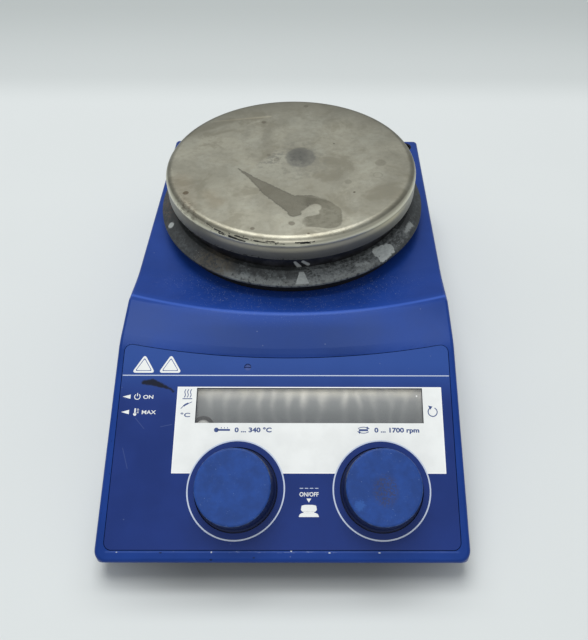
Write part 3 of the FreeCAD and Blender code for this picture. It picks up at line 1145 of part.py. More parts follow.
# ---------------------------------------------------------------------------
# Main board and connectors
# ---------------------------------------------------------------------------
def make_main_board(nuts):
    """Main board with transformer and capacitors, and the small board screws."""
    middle = "(main_board_front + main_board_rear)/2"
    board = block("MainBoardBulk", "2*main_board_side", "main_board_rear - main_board_front",
                  "board_thickness", "0", middle, MAIN_BOARD_FOOT)
    holes = [rod(f"MainBoardHole{index}", "small_screw + screw_gap", "3*board_thickness", x, y,
                 f"{MAIN_BOARD_FOOT} - overrun") for index, (x, y) in enumerate(MAIN_BOARD_SCREWS)]
    keep(cut("MainBoard", board, holes), "main_board")

    screws = [screw(f"MainBoardScrew{index}", "small_screw",
                     "board_thickness + main_board_rise - overrun",
                    "small_head", "small_head_height", x, y, MAIN_BOARD_TOP, up=False)
              for index, (x, y) in enumerate(MAIN_BOARD_SCREWS)]
    for index, (x, along) in enumerate(POSTS):
        piece = screw(f"PostScrew{index}", "post_screw",
                      "board_thickness + encoder_height - 3*overrun", "post_head",
                      "post_head_height", "0", "0", f"-{BOARD_BACK}")
        screws.append(on_panel(group(f"PostScrewPlaced{index}", [piece]), x, along))
    keep(group("BoardScrews", screws), "board_screws")
    keep(group("EncoderNuts", nuts), "encoder_nuts")

    core = block("TransformerCore", "transformer_width", "transformer_depth", "transformer_tall",
                 "transformer_left", "transformer_back", MAIN_BOARD_TOP)
    windows = [block(f"CoreWindow{side}", "transformer_width/6", "2*transformer_depth",
                     "transformer_tall/2", f"transformer_left + {side}*transformer_width/4",
                     "transformer_back", f"{MAIN_BOARD_TOP} + transformer_tall/4") for side in (-1, 1)]
    bobbin = block("Bobbin", "bobbin_width", "transformer_depth + 2*bobbin_overhang",
                   "transformer_tall/2 - 2*bobbin_gap", "transformer_left", "transformer_back",
                   f"{MAIN_BOARD_TOP} + transformer_tall/4 + bobbin_gap")
    laminated = cut("CoreLaminated", core, windows)
    keep(join("PowerTransformer", [laminated, bobbin]), "power_transformer")

    cans = [rod(f"Capacitor{index}", "capacitor_radius", "capacitor_tall", "capacitor_right",
                f"transformer_back + ({index} - 0.5)*capacitor_pitch", MAIN_BOARD_TOP)
            for index in range(2)]
    keep(group("SmoothingCapacitors", cans), "smoothing_capacitors")


def make_rear_connectors():
    """Mains inlet with its pins, and the sensor socket, in the rear wall."""
    low = "(inlet_height - inlet_tall/2)"
    flange = block("InletFlange", "inlet_width + 2*inlet_flange", "flange_thickness",
                   "inlet_tall + 2*inlet_flange", "inlet_left", f"{FACE_REAR} - flange_thickness/2",
                   f"{low} - inlet_flange")
    case = block("InletCase", "inlet_width", "inlet_length", "inlet_tall", "inlet_left",
                 f"{FACE_REAR} - inlet_length/2", low)
    hollow = block("InletHollow", "socket_width", "2*socket_depth", "socket_tall", "inlet_left",
                   FACE_REAR, "inlet_height - socket_tall/2")
    keep(cut("MainsInlet", join("InletSolid", [flange, case]), [hollow]), "mains_inlet")
    pins = [block(f"InletPin{index}", "pin_width", "pin_length", "pin_tall",
                  f"inlet_left + {index}*pin_pitch",
                  f"{FACE_REAR} - socket_depth + pin_length/2",
                  f"inlet_height - pin_tall/2 {'-' if index else '+'} pin_stagger")
            for index in (-1, 0, 1)]
    keep(group("InletPins", pins), "inlet_pins")

    case = rod("SensorCase", "sensor_radius", "sensor_length", "sensor_right", FACE_REAR,
               "inlet_height", (1, 0, 0), "90")
    mouth, length = f"{FACE_REAR} + overrun", "groove_depth + overrun"
    core = rod("GrooveInner", "sensor_groove", length, "sensor_right", mouth, "inlet_height",
               (1, 0, 0), "90")
    ring = cut("SensorGroove", rod("GrooveOuter", "sensor_radius - groove_wall", length,
                                   "sensor_right", mouth, "inlet_height", (1, 0, 0), "90"), [core])
    holes = [rod(f"ContactHole{index}", "contact_radius", length,
                 f"sensor_right + contact_circle*cos({angle})", mouth,
                 f"inlet_height + contact_circle*sin({angle})", (1, 0, 0), "90")
             for index, angle in enumerate((180, 225, 270, 315, 360))]
    keep(cut("SensorSocket", case, [ring] + holes), "sensor_socket")


def make_side_controls():
    """Mains switch with its rocker, and the safe temperature adjuster."""
    low = "(switch_height - switch_tall/2)"
    flange = block("SwitchFlange", "flange_thickness", "switch_width + 2*switch_flange",
                   "switch_tall + 2*switch_flange", f"-{FACE_SIDE} + flange_thickness/2",
                   "switch_along", f"{low} - switch_flange")
    case = block("SwitchCase", "switch_length", "switch_width", "switch_tall",
                 f"-{FACE_SIDE} + switch_length/2", "switch_along", low)
    room = block("RockerRoom", "2*rocker_reach", "rocker_width + 2*clear_gap",
                 "2*(rocker_half + rocker_room)", f"-{FACE_SIDE}", "switch_along",
                 "switch_height - rocker_half - rocker_room")
    pin_half = "(rocker_width/2 + rocker_axle + clear_gap)"
    pin_room = rod("PinRoom", "rocker_pin + running_gap", f"2*{pin_half}",
                   f"rocker_pivot - {FACE_SIDE}", f"switch_along + {pin_half}", "switch_height",
                   (1, 0, 0), "90")
    keep(cut("SwitchBody", join("SwitchSolid", [flange, case]), [room, pin_room]), "switch_body")

    rocker = new_body("RockerForm")
    face = "rocker_sink - rocker_pivot"
    section = polygon(rocker, "RockerSection", "XZ_Plane", [
        ("rocker_back", "rocker_taper - rocker_half"), ("rocker_back", "rocker_half - rocker_taper"),
        (face, "rocker_half"), ("rocker_dip - rocker_pivot", "0"), (face, "-rocker_half")])
    pad(rocker, section, "rocker_width", midplane=True)
    axle = rod("RockerAxle", "rocker_pin", "rocker_width + 2*rocker_axle", "0",
               "rocker_width/2 + rocker_axle", "0", (1, 0, 0), "90")
    whole = join("PowerRocker", [rocker, axle])
    keep(place(whole, f"rocker_pivot - {FACE_SIDE}", "switch_along", "switch_height", (0, 1, 0),
               "-rocker_tilt"), "power_rocker")

    sleeve = rod("AdjusterSleeve", "adjuster_sleeve", "adjuster_sleeve_length", f"-{FACE_SIDE}",
                 "adjuster_along", "adjuster_height", (0, 1, 0), "90")
    case = block("AdjusterCase", "adjuster_body_depth", "adjuster_body", "adjuster_body",
                 f"-{FACE_SIDE} + adjuster_sleeve_length + adjuster_body_depth/2", "adjuster_along",
                 "adjuster_height - adjuster_body/2")
    bore = rod("AdjusterBore", "adjuster_radius + running_gap",
               "adjuster_sleeve_length + 3*overrun", f"-{FACE_SIDE} - overrun", "adjuster_along",
               "adjuster_height", (0, 1, 0), "90")
    keep(cut("AdjusterBody", join("AdjusterSolid", [sleeve, case]), [bore]), "adjuster_body")
    stem = rod("AdjusterStem", "adjuster_radius", "adjuster_sleeve_length + overrun",
               f"adjuster_sink - {FACE_SIDE}", "adjuster_along", "adjuster_height", (0, 1, 0), "90")
    slot = block("AdjusterSlot", "2*adjuster_bite", "3*adjuster_radius", "slot_cut",
                 f"adjuster_sink - {FACE_SIDE}", "adjuster_along", "adjuster_height - slot_cut/2")
    keep(cut("SafeAdjuster", stem, [slot]), "safe_temperature_adjuster")


def make_stand_bush():
    """Tapped bush for the stand rod, in the rear right corner of the deck."""
    foot = "(deck_height - rod_bush_length)"
    bush = turned("StandBush", [
        ("0", foot), ("rod_bush_radius", foot), ("rod_bush_radius", "deck_height"),
        ("rod_bore + rod_chamfer", "deck_height"), ("rod_bore", "deck_height - rod_chamfer"),
        ("rod_bore", f"{foot} + wall"), ("0", f"{foot} + wall")])
    keep(place(bush, "rod_right", ROD_Y, "0"), "stand_bush")


def bent_tube(name, corners, radius):
    """A tube along straight runs joined by tangent arcs as large as the runs allow."""
    spots = [Vector(*(number(text) for text in corner)) for corner in corners]
    edges, start = [], spots[0]
    for before, corner, after in zip(spots, spots[1:], spots[2:]):
        arriving, leaving = (corner - before).normalize(), (after - corner).normalize()
        half_turn = arriving.getAngle(leaving) / 2
        reach = 0.45 * min((corner - before).Length, (after - corner).Length)
        bend = reach / math.tan(half_turn)
        inward = (leaving - arriving).normalize()
        middle = corner + inward * (bend / math.cos(half_turn) - bend)
        first, second = corner - arriving * reach, corner + leaving * reach
        edges += [Part.LineSegment(start, first).toShape(), Part.Arc(first, middle, second).toShape()]
        start = second
    edges.append(Part.LineSegment(start, spots[-1]).toShape())
    path = Part.Wire(edges)
    circle = Part.Circle(spots[0], spots[1] - spots[0], number(radius)).toShape()
    tube = path.makePipeShell([Part.Wire(circle)], True, True)
    holder = doc.addObject("Part::Feature", name)
    holder.Shape = tube
    return holder


def make_leads():
    """Two heater leads: from the terminals down through the deck, round the motor
    and forward to the main board."""
    tubes = []
    for side, (x, y) in LEADS.items():
        sign = -1 if side == "left" else 1
        away = f"{sign}*(lead_clearance + lead_swing)"
        end = f"{sign}*(main_board_side - board_screw_inset - lead_room)"
        landing = "main_board_rear - lead_inset"
        tubes.append(bent_tube(f"Lead_{side}", [
            (x, y, f"{CLAMP_TOP} - terminal_length"), (x, y, "deck_height - lead_drop"),
            (away, f"{y} - lead_slant", "deck_height - (lead_drop + lead_low)/2 - lead_swing"),
            (away, "plate_back - lead_front", "deck_height - lead_low"),
            (end, landing, "deck_height - lead_low"), (end, landing, MAIN_BOARD_TOP)],
            "lead_radius"))
    keep(group("HeaterLeads", tubes), "heater_leads")


# ---------------------------------------------------------------------------
# Build, check and write
# ---------------------------------------------------------------------------
def build():
    make_housing()
    make_base()
    make_panel()
    make_display()
    nuts = [make_knob(name, x) for name, x in KNOBS.items()]
    make_display_board()
    make_plate()
    make_plate_carriers()
    make_motor()
    make_drive()
    make_main_board(nuts)
    make_rear_connectors()
    make_side_controls()
    make_stand_bush()
    make_leads()
    doc.recompute()


def check():
    """Stops if any object failed, or any sub-part's shape is empty or not valid."""
    for item in doc.Objects:
        if "Invalid" in item.State or "Error" in item.State:
            raise RuntimeError(f"{item.Name} ({item.Label}) is {item.State}")
    for item in nodes:
        if item.Shape.isNull() or not item.Shape.isValid() or not item.Shape.Solids:
            raise RuntimeError(f"{item.Label} has no valid solid")


def write():
    os.makedirs("parts", exist_ok=True)
    for item in nodes:
        item.Shape.exportStep(os.path.join("parts", item.Label + ".step"))
    print(f"{len(nodes)} sub-parts written")


build()
check()
write()
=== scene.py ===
"""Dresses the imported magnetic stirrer: a finish for every node, the printed panel, the
pieces that are too small for the solids, and the stage that it is shown on."""

import json
import math

import bpy
from bpy.props import FloatProperty, FloatVectorProperty, PointerProperty
from mathutils import Matrix, Vector
from mathutils.geometry import delaunay_2d_cdt


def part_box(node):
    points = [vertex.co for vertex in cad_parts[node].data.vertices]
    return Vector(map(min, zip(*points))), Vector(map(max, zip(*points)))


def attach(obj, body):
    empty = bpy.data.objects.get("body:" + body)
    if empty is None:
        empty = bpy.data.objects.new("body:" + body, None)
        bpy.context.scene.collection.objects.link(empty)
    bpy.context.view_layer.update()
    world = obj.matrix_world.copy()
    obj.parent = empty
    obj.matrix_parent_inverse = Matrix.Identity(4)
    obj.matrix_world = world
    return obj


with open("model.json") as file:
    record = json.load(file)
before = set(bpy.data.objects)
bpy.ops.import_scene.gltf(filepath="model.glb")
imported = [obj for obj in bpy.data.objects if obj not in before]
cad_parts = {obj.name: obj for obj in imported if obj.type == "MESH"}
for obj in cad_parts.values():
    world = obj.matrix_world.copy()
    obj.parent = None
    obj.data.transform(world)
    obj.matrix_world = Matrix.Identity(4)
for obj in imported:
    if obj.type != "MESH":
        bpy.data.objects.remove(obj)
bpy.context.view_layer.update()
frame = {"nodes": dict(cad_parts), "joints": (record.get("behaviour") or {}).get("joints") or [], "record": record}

bl_info = {
    "name": "Magnetic stirrer",
    "version": (1, 0, 0),
    "blender": (4, 5, 0),
    "location": "3D View > Sidebar > Stirrer",
    "description": "Finishes, print and small pieces of a heating magnetic stirrer",
    "category": "Object",
}

MM = 0.001
JOINTS = {joint["name"]: joint for joint in frame["joints"]}
PLATE_AXIS = Vector(JOINTS["stirrer_spin"]["pos_m"]) / MM
PLATE_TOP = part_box("heating_plate")[1].z / MM
PANEL_NORMAL = Vector(JOINTS["speed_knob_turn"]["axis"])
PANEL_UP = Vector((0, PANEL_NORMAL.z, -PANEL_NORMAL.y))
KNOB_MIDDLES = {side: Vector(JOINTS[f"{side}_knob_turn"]["pos_m"]) / MM for side in ("temperature", "speed")}


# ---------------------------------------------------------------------------
# Sizes and colours that a user may change
# ---------------------------------------------------------------------------
def number(name, default, description, **more):
    return FloatProperty(name=name, default=default, description=description, **more)


def size(name, default, description):
    """A length in millimetres."""
    return number(name, default, description + ", in mm")


def shade(name, default, description):
    return FloatVectorProperty(name=name, default=default, description=description, subtype="COLOR",
                               min=0.0, max=1.0)


class StirrerPrintSizes(bpy.types.PropertyGroup):
    """Where the marks on the control panel are, measured up the panel from its front edge."""
    knob_along: size("Knobs", 29.2, "Knob axes along the panel")
    ring_radius: size("Ring radius", 21.5, "Outer radius of the line round a knob")
    ring_line: size("Ring line", 0.62, "Width of the line round a knob")
    area_left: size("Area left", -49.6, "Left edge of the white area")
    area_right: size("Area right", 71.4, "Right edge of the white area")
    area_bottom: size("Area bottom", 36.0, "Lower edge of the white area")
    area_top: size("Area top", 75.0, "Upper edge of the white area")
    window_left: size("Window left", -40.9, "Left edge of the display")
    window_right: size("Window right", 62.8, "Right edge of the display")
    window_bottom: size("Window bottom", 58.1, "Lower edge of the display")
    window_top: size("Window top", 74.7, "Upper edge of the display")
    window_cover: size("Window cover", 0.2, "How far the print reaches over the display's edge")
    outline: size("Outline", 0.45, "Brighter line along the edge of the white area")
    rule_along: size("Rule", 80.4, "Line across the panel")
    rule_line: size("Rule width", 0.42, "Width of the line across the panel")
    rule_half: size("Rule half length", 75.4, "Half the length of the line across the panel")
    film: size("Film", 0.03, "Thickness of the printed film")


class StirrerDetailSizes(bpy.types.PropertyGroup):
    """Small repeated pieces."""
    thread_pitch: size("Thread pitch", 1.5, "Pitch of the stand rod's thread")
    thread_depth: size("Thread depth", 0.35, "Height of the thread's ridges")
    contact_pitch: size("Contact pitch", 2.54, "Spacing of the display's contacts")
    contact_width: size("Contact width", 0.7, "Width of one contact")
    contact_thickness: size("Contact thickness", 0.35, "Thickness of one contact")
    contact_depth: size("Contact depth", 10.4, "Foot of the contacts below the panel's face")
    contact_height: size("Contact height", 5.6, "Length of one contact")


class StirrerColours(bpy.types.PropertyGroup):
    """Base colours, as linear values."""
    coat: shade("Coat", (0.0105, 0.043, 0.240), "Blue coat of the housing")
    foil: shade("Foil", (0.0105, 0.034, 0.190), "Blue of the printed panel")
    knob: shade("Knob", (0.011, 0.056, 0.265), "Blue of the knobs")
    ink: shade("Ink", (0.92, 0.945, 0.93), "White print")
    pale_ink: shade("Pale ink", (0.62, 0.70, 0.86), "Thin pale lines and marks")
    blue_ink: shade("Blue ink", (0.03, 0.07, 0.24), "Marks on the white area")
    plate: shade("Plate", (0.335, 0.325, 0.262), "Steel of the heating plate")
    ring: shade("Ring", (0.034, 0.039, 0.041), "Dark enamel of the flared ring")
    flake: shade("Flake", (0.42, 0.45, 0.44), "Pale patches on the flared ring")
    black: shade("Black", (0.006, 0.006, 0.007), "Black enamel and plastic")


class StirrerStage(bpy.types.PropertyGroup):
    """Floor, light and camera."""
    floor: shade("Floor", (0.71, 0.745, 0.742), "Floor")
    far_floor: shade("Far floor", (0.455, 0.49, 0.485), "Floor far behind the stirrer")
    fade_from: size("Fade from", 275.0, "Where the floor behind the stirrer starts to darken")
    fade_to: size("Fade to", 520.0, "Where the floor behind the stirrer is darkest")
    light_watts: number("Light", 70.0, "Power of the main light", subtype="POWER")
    fill: number("Fill", 0.41, "Strength of the room's light")
    lens: number("Lens", 36.2, "Focal length of the camera", subtype="DISTANCE_CAMERA")
    camera_tilt: number("Tilt", 46.79, "How far the camera looks down, in degrees")
    camera_pan: number("Pan", 0.352, "How far the camera turns right, in degrees")
    camera_roll: number("Roll", 0.401, "Roll of the camera, in degrees")


def sizes():
    return bpy.context.scene.stirrer_print


def details():
    return bpy.context.scene.stirrer_details


def colours():
    return bpy.context.scene.stirrer_colours


# ---------------------------------------------------------------------------
# Node trees
# ---------------------------------------------------------------------------
class Value:
    """A socket that carries a number. Python's operators add Math nodes."""

    def __init__(self, graph, socket):
        self.graph, self.socket = graph, socket

    def math(self, operation, *others, first=None):
        values = ([first, self] if first is not None else [self]) + list(others)
        made = self.graph.node("ShaderNodeMath", {"operation": operation},
                               **{f"in{index}": value for index, value in enumerate(values)})
        return Value(self.graph, made.outputs[0])

    def __add__(self, other):
        return self.math("ADD", other)

    def __sub__(self, other):
        return self.math("SUBTRACT", other)

    def __rsub__(self, other):
        return self.math("SUBTRACT", first=other)

    def __mul__(self, other):
        return self.math("MULTIPLY", other)

    def __truediv__(self, other):
        return self.math("DIVIDE", other)

    def __pow__(self, other):
        return self.math("POWER", other)

    def __abs__(self):
        return self.math("ABSOLUTE")

    __radd__, __rmul__ = __add__, __mul__

    def least(self, other):
        return self.math("MINIMUM", other)

    def most(self, other):
        return self.math("MAXIMUM", other)

    def clamp(self):
        return self.most(0.0).least(1.0)

    def rise(self, low, high):
        """0 at low and 1 at high, with soft ends; low may be the larger one."""
        made = self.graph.node("ShaderNodeMapRange", {"interpolation_type": "SMOOTHSTEP"},
                               Value=self, From_Min=low, From_Max=high, To_Min=0.0, To_Max=1.0)
        return Value(self.graph, made.outputs[0])

    def band(self, low, high, soft):
        """1 between low and high, falling to 0 over soft on both sides."""
        return self.rise(low - soft, low) * self.rise(high + soft, high)


def darker(colour, share):
    """A share of a colour's light; above 1 it is paler."""
    return tuple(channel * share for channel in colour)


def greatest(values):
    """The largest of several values."""
    largest, *others = values
    for value in others:
        largest = largest.most(value)
    return largest


class Graph:
    """A node tree with one way to add a node."""

    def __init__(self, tree):
        self.tree = tree

    def node(self, kind, settings=None, **inputs):
        """Adds a node. The inputs go by name, or by number as in0, in1 and so on."""
        made = self.tree.nodes.new(kind)
        for name, value in (settings or {}).items():
            if name == "stops":
                self.set_stops(made.color_ramp, value)
            else:
                setattr(made, name, value)
        for key, value in inputs.items():
            by_index = key.startswith("in") and key[2:].isdigit()
            socket = made.inputs[int(key[2:]) if by_index else key.replace("_", " ")]
            value = value.socket if isinstance(value, Value) else value
            if isinstance(value, bpy.types.NodeSocket):
                self.tree.links.new(value, socket)
            else:
                socket.default_value = value
        return made

    @staticmethod
    def set_stops(ramp, stops):
        while len(ramp.elements) < len(stops):
            ramp.elements.new(1.0)
        for element, (position, colour) in zip(ramp.elements, stops):
            element.position, element.color = position, (*colour, 1.0)


class Finish(Graph):
    """One material. Its coordinates are the object's own, in millimetres."""

    def __init__(self, name):
        self.material = bpy.data.materials.new(name)
        self.material.use_nodes = True
        super().__init__(self.material.node_tree)
        self.tree.nodes.clear()
        coordinates = self.node("ShaderNodeTexCoord")
        scaled = self.node("ShaderNodeVectorMath", {"operation": "SCALE"}, in0=coordinates.outputs["Object"],
                           Scale=1.0 / MM)
        self.place, self.colour = scaled.outputs[0], None
        parts = self.node("ShaderNodeSeparateXYZ", in0=self.place)
        self.x, self.y, self.z = (Value(self, socket) for socket in parts.outputs)

    def noise(self, scale, detail=3.0, roughness=0.55, stretch=(1, 1, 1), seed=0.0, distortion=0.0):
        """Noise with features about 1/scale millimetres across."""
        moved = self.node("ShaderNodeVectorMath", {"operation": "MULTIPLY_ADD"}, in0=self.place,
                          in1=stretch, in2=(seed, seed * 1.7, -seed))
        made = self.node("ShaderNodeTexNoise", Vector=moved.outputs[0], Scale=scale, Detail=detail,
                         Roughness=roughness, Distortion=distortion)
        return Value(self, made.outputs[0])

    def cells(self, scale, seed=0.0, feature="F1"):
        """Distance to scattered points about 1/scale millimetres apart."""
        moved = self.node("ShaderNodeVectorMath", {"operation": "ADD"}, in0=self.place,
                          in1=(seed, -seed, seed * 0.6))
        made = self.node("ShaderNodeTexVoronoi", {"feature": feature}, Vector=moved.outputs[0], Scale=scale)
        return Value(self, made.outputs[0])

    def mix(self, mask, low, high):
        """A colour between two others."""
        low, high = (c if isinstance(c, bpy.types.NodeSocket) else (*c, 1.0) for c in (low, high))
        made = self.node("ShaderNodeMix", {"data_type": "RGBA", "clamp_factor": True},
                         in0=mask, in6=low, in7=high)
        return made.outputs[2]

    def ground(self, mask, colour, dark, pale):
        """The colour under everything, between two shares of one colour."""
        self.colour = self.mix(mask, darker(colour, dark), darker(colour, pale))

    def lay(self, mask, colour):
        """Covers the finish so far with a colour where the mask is 1."""
        self.colour = self.mix(mask, self.colour, colour)

    def ramp(self, value, stops):
        return self.node("ShaderNodeValToRGB", {"stops": stops}, Fac=value).outputs[0]

    def plate_place(self):
        """Right and back from the plate's axis, distance from it, and degrees from the front."""
        right, back = self.x - PLATE_AXIS.x, self.y - PLATE_AXIS.y
        away = (right * right + back * back) ** 0.5
        turn = right.math("ARCTAN2", back * -1.0) * math.degrees(1)
        return right, back, away, turn

    def panel_place(self):
        """Across and along the panel, in millimetres from its front edge."""
        start = KNOB_MIDDLES["speed"] - PANEL_UP * sizes().knob_along
        return self.x, (self.y - start.y) * PANEL_UP.y + (self.z - start.z) * PANEL_UP.z

    def spot(self, across, up, centre, radius, stretch=1.0):
        """How far outside an ellipse a point is, in millimetres; negative inside."""
        aside, above = across - centre[0], (up - centre[1]) * stretch
        return (aside * aside + above * above) ** 0.5 - radius

    def stroke(self, across, up, start, end):
        """How far outside a tapered stroke a point is. Its ends are (across, up, radius)."""
        run, lift = end[0] - start[0], end[1] - start[1]
        aside, above = across - start[0], up - start[1]
        share = ((aside * run + above * lift) / (run * run + lift * lift)).clamp()
        aside, above = aside - share * run, above - share * lift
        return (aside * aside + above * above) ** 0.5 - (share * (end[2] - start[2]) + start[2])

    def strokes(self, across, up, strokes):
        """How far outside the nearest of several strokes a point is."""
        nearest, *others = (self.stroke(across, up, *ends) for ends in strokes)
        for distance in others:
            nearest = nearest.least(distance)
        return nearest

    def bump(self, height, depth):
        """Bump of that depth in millimetres."""
        return self.node("ShaderNodeBump", Height=height, Strength=1.0, Distance=depth * MM).outputs[0]

    def surface(self, roughness, metallic=0.0, normal=None, coat=0.0, alpha=1.0, **fixed):
        """Ends the material in one principled shader; fixed holds sockets that stay constant."""
        inputs = {"Base_Color": self.colour, "Roughness": roughness, "Metallic": metallic,
                  "Coat_Weight": coat, "Alpha": alpha, **fixed}
        if normal is not None:
            inputs["Normal"] = normal
        shader = self.node("ShaderNodeBsdfPrincipled", **inputs)
        self.node("ShaderNodeOutputMaterial", Surface=shader.outputs[0])
        return self.material


def paint(material, *names):
    """Gives CAD nodes a material."""
    for name in names:
        slots = frame["nodes"][name].data.materials
        slots.clear()
        slots.append(material)


# ---------------------------------------------------------------------------
# Finishes of the housing and the panel
# ---------------------------------------------------------------------------
# The crest between the deck and the panel, seen from above: it bows forwards in the middle.
RIDGE_HALF, RIDGE_MIDDLE, RIDGE_SWEEP = 76.0, -29.8, 12.8
# Chips on the casting's front edge: place across and along the panel, radius, and how flat they are.
PALE_CHIPS = (((-30.0, 3.4), 0.28, 1.0), ((19.9, 3.2), 0.46, 2.0), ((41.0, 3.2), 0.5, 2.6),
              ((3.7, 3.9), 0.35, 1.2), ((-70.0, 3.4), 0.3, 2.0))
DARK_CHIPS = (((-51.5, 3.2), 0.55), ((-12.0, 1.2), 0.5), ((-30.0, 0.4), 0.6))
# Stretches of the pale front line, worn and lit by a painted highlight, that have most scratches: left, right and
# how softly they end.
SCRATCHED = ((-49.5, -46.0, 0.5), (-25.0, -17.0, 0.6), (-15.0, 24.0, 1.0))
# Strokes on the foil, each from one (across, along, half width) to another.
SMEAR = (((-65.6, 77.0, 0.9), (-61.4, 77.1, 1.5)), ((-61.4, 77.1, 1.5), (-56.6, 75.4, 1.0)),
         ((-56.6, 75.4, 0.9), (-52.6, 73.9, 0.4)), ((-52.8, 74.2, 0.3), (-51.4, 72.6, 0.45)))
HAIR_SCRATCHES = (((-67.6, 60.4, 0.06), (-63.3, 55.6, 0.04)), ((-56.0, 56.5, 0.05), (-51.0, 57.6, 0.05)),
                  ((-72.0, 47.0, 0.05), (-69.0, 38.0, 0.04)))


def crest_shade_and_highlight(f, across, along):
    """Painted shade in the hollow behind the panel's seam and a painted highlight along the crest."""
    # Painted shade in the hollow behind the seam.
    hollow = along.band(91.0, 103.0, 6.0) * abs(across).rise(64.0, 20.0)
    f.lay(hollow * 0.45, darker(colours().coat, 0.45))
    bend = (across / RIDGE_HALF) * (across / RIDGE_HALF)
    ridge = abs(f.y - (bend * RIDGE_SWEEP + RIDGE_MIDDLE))
    high = f.z.rise(53.4, 54.8)
    # Painted highlight along the crest: a broad pale band and a bright line.
    f.lay(ridge.rise(5.5, 0.6) * high * 0.22, darker(colours().coat, 1.9))
    f.lay(ridge.rise(1.5, 0.25) * high * 0.75, (0.050, 0.125, 0.52))


def settled_dust(f, back, away):
    """Dust in front of the plate and stray specks. Returns how much rougher it makes the coat."""
    zone = away.rise(100.0, 74.0) * back.rise(-52.0, -60.0) * (f.noise(0.05, 2.0, seed=3.0) + 0.2).clamp()
    grains = f.cells(1.3, seed=2.0).rise(0.24, 0.10) * f.noise(0.5, 2.0, seed=9.0).rise(0.42, 0.56)
    f.lay((grains * zone * 1.1).clamp(), (0.34, 0.40, 0.52))
    haze = f.noise(0.4, 5.0, 0.7, seed=5.0).rise(0.45, 0.8) * zone
    f.lay(haze * 0.16, (0.12, 0.15, 0.22))
    f.lay(f.cells(0.12, seed=7.0).rise(0.045, 0.03) * 0.35, (0.25, 0.3, 0.42))
    return grains * zone * 0.4 + haze * 0.15


def front_wear_and_highlight(f, across, along, front):
    """Pale line under the panel's front seam, partly a painted highlight on the edge's rounding and partly rubbed
    wear, with scratches, and chips in the coat.
    """
    # Painted highlight and rubbed wear: a pale line under the seam.
    worn = along.band(3.25, 3.75, 0.2) * across.band(-74.0, 74.0, 1.5) * front
    f.lay(worn * 0.32, (0.07, 0.13, 0.42))
    scratches = f.noise(0.55, 4.0, 0.75, stretch=(0.6, 5.0, 5.0), seed=31.0).rise(0.56, 0.64) * worn
    busy = greatest(across.band(*stretch) for stretch in SCRATCHED)
    f.lay(scratches * (busy * 0.42 + 0.08), (0.42, 0.48, 0.60))
    jitter = f.noise(1.6, 3.0) * 0.8 - 0.4
    for centre, radius, flatness in PALE_CHIPS:
        chip = (f.spot(across, along, centre, radius, flatness) + jitter * 0.5).rise(0.15, -0.1)
        f.lay(chip * front, (0.62, 0.66, 0.7))
    for centre, radius in DARK_CHIPS:
        chip = (f.spot(across, along, centre, radius, 1.8) + jitter * 0.6).rise(0.15, -0.15)
        f.lay(chip * front * 0.85, (0.01, 0.013, 0.03))


def blue_coat():
    """Satin coat on the casting, with painted shade behind the panel's seam, painted highlights along the crest
    and on the worn front edge, dust round the plate and small chips.
    """
    f = Finish("blue_coat")
    _, back, away, _ = f.plate_place()
    across, along = f.panel_place()
    cloud = f.noise(0.035, 4.0).rise(0.3, 0.7)
    f.ground(cloud, colours().coat, 0.9, 1.1)
    crest_shade_and_highlight(f, across, along)
    dusty = settled_dust(f, back, away)
    foot = f.z.rise(9.6, 8.0) * f.noise(0.3, 4.0, seed=11.0).rise(0.5, 0.62)
    f.lay(foot * 0.55, (0.05, 0.08, 0.2))
    front_wear_and_highlight(f, across, along, back.rise(-150.0, -160.0))
    left_edge = across.band(-79.0, -75.8, 0.4) * along.band(20.0, 72.0, 4.0)
    f.lay(f.cells(0.35, seed=41.0).rise(0.10, 0.05) * left_edge * 0.8, (0.008, 0.01, 0.02))
    return f.surface(cloud * 0.07 + 0.30 + dusty, normal=f.bump(f.noise(1.4, 2.0, 0.4), 0.012), IOR=1.5,
                     Specular_IOR_Level=0.30, Specular_Tint=(0.40, 0.56, 1.0, 1.0))


def foil_film():
    """Printed foil: deep blue, with painted light that makes it paler towards the panel's top, a rubbed smear,
    hair scratches and a few specks.
    """
    f = Finish("foil_film")
    across, along = f.panel_place()
    cloud = f.noise(0.05, 3.0).rise(0.3, 0.7)
    f.ground(cloud, colours().foil, 0.94, 1.08)
    # Painted light: the foil paler towards the top of the panel.
    f.lay(along.rise(66.0, 88.0) * 0.5, (0.036, 0.115, 0.44))
    ragged = f.noise(0.9, 4.0, 0.65) * 3.0 - 1.5
    stain = (f.strokes(across, along, SMEAR) + ragged * 0.42).rise(0.45, -0.45)
    f.lay(stain * 0.94, (0.008, 0.009, 0.013))
    f.lay(f.strokes(across, along, HAIR_SCRATCHES).rise(0.16, 0.0) * 0.35, (0.12, 0.17, 0.36))
    f.lay(f.cells(0.14, seed=4.0).rise(0.042, 0.026) * 0.5, (0.16, 0.22, 0.4))
    roughness = cloud * 0.06 + 0.36 + stain * 0.25
    grain = f.noise(3.2, 2.0, 0.5)
    return f.surface(roughness, normal=f.bump(grain, 0.006), IOR=1.48, Specular_IOR_Level=0.20)


def film_ink(name, colour, speckle=0.06):
    """Printed white or blue ink with slight unevenness."""
    f = Finish(name)
    cloud = f.noise(0.12, 4.0)
    f.ground(cloud.rise(0.3, 0.7), colour, 1.0 - speckle, 1.0)
    return f.surface(cloud * 0.1 + 0.38, normal=f.bump(f.noise(3.2, 2.0), 0.004), IOR=1.48)


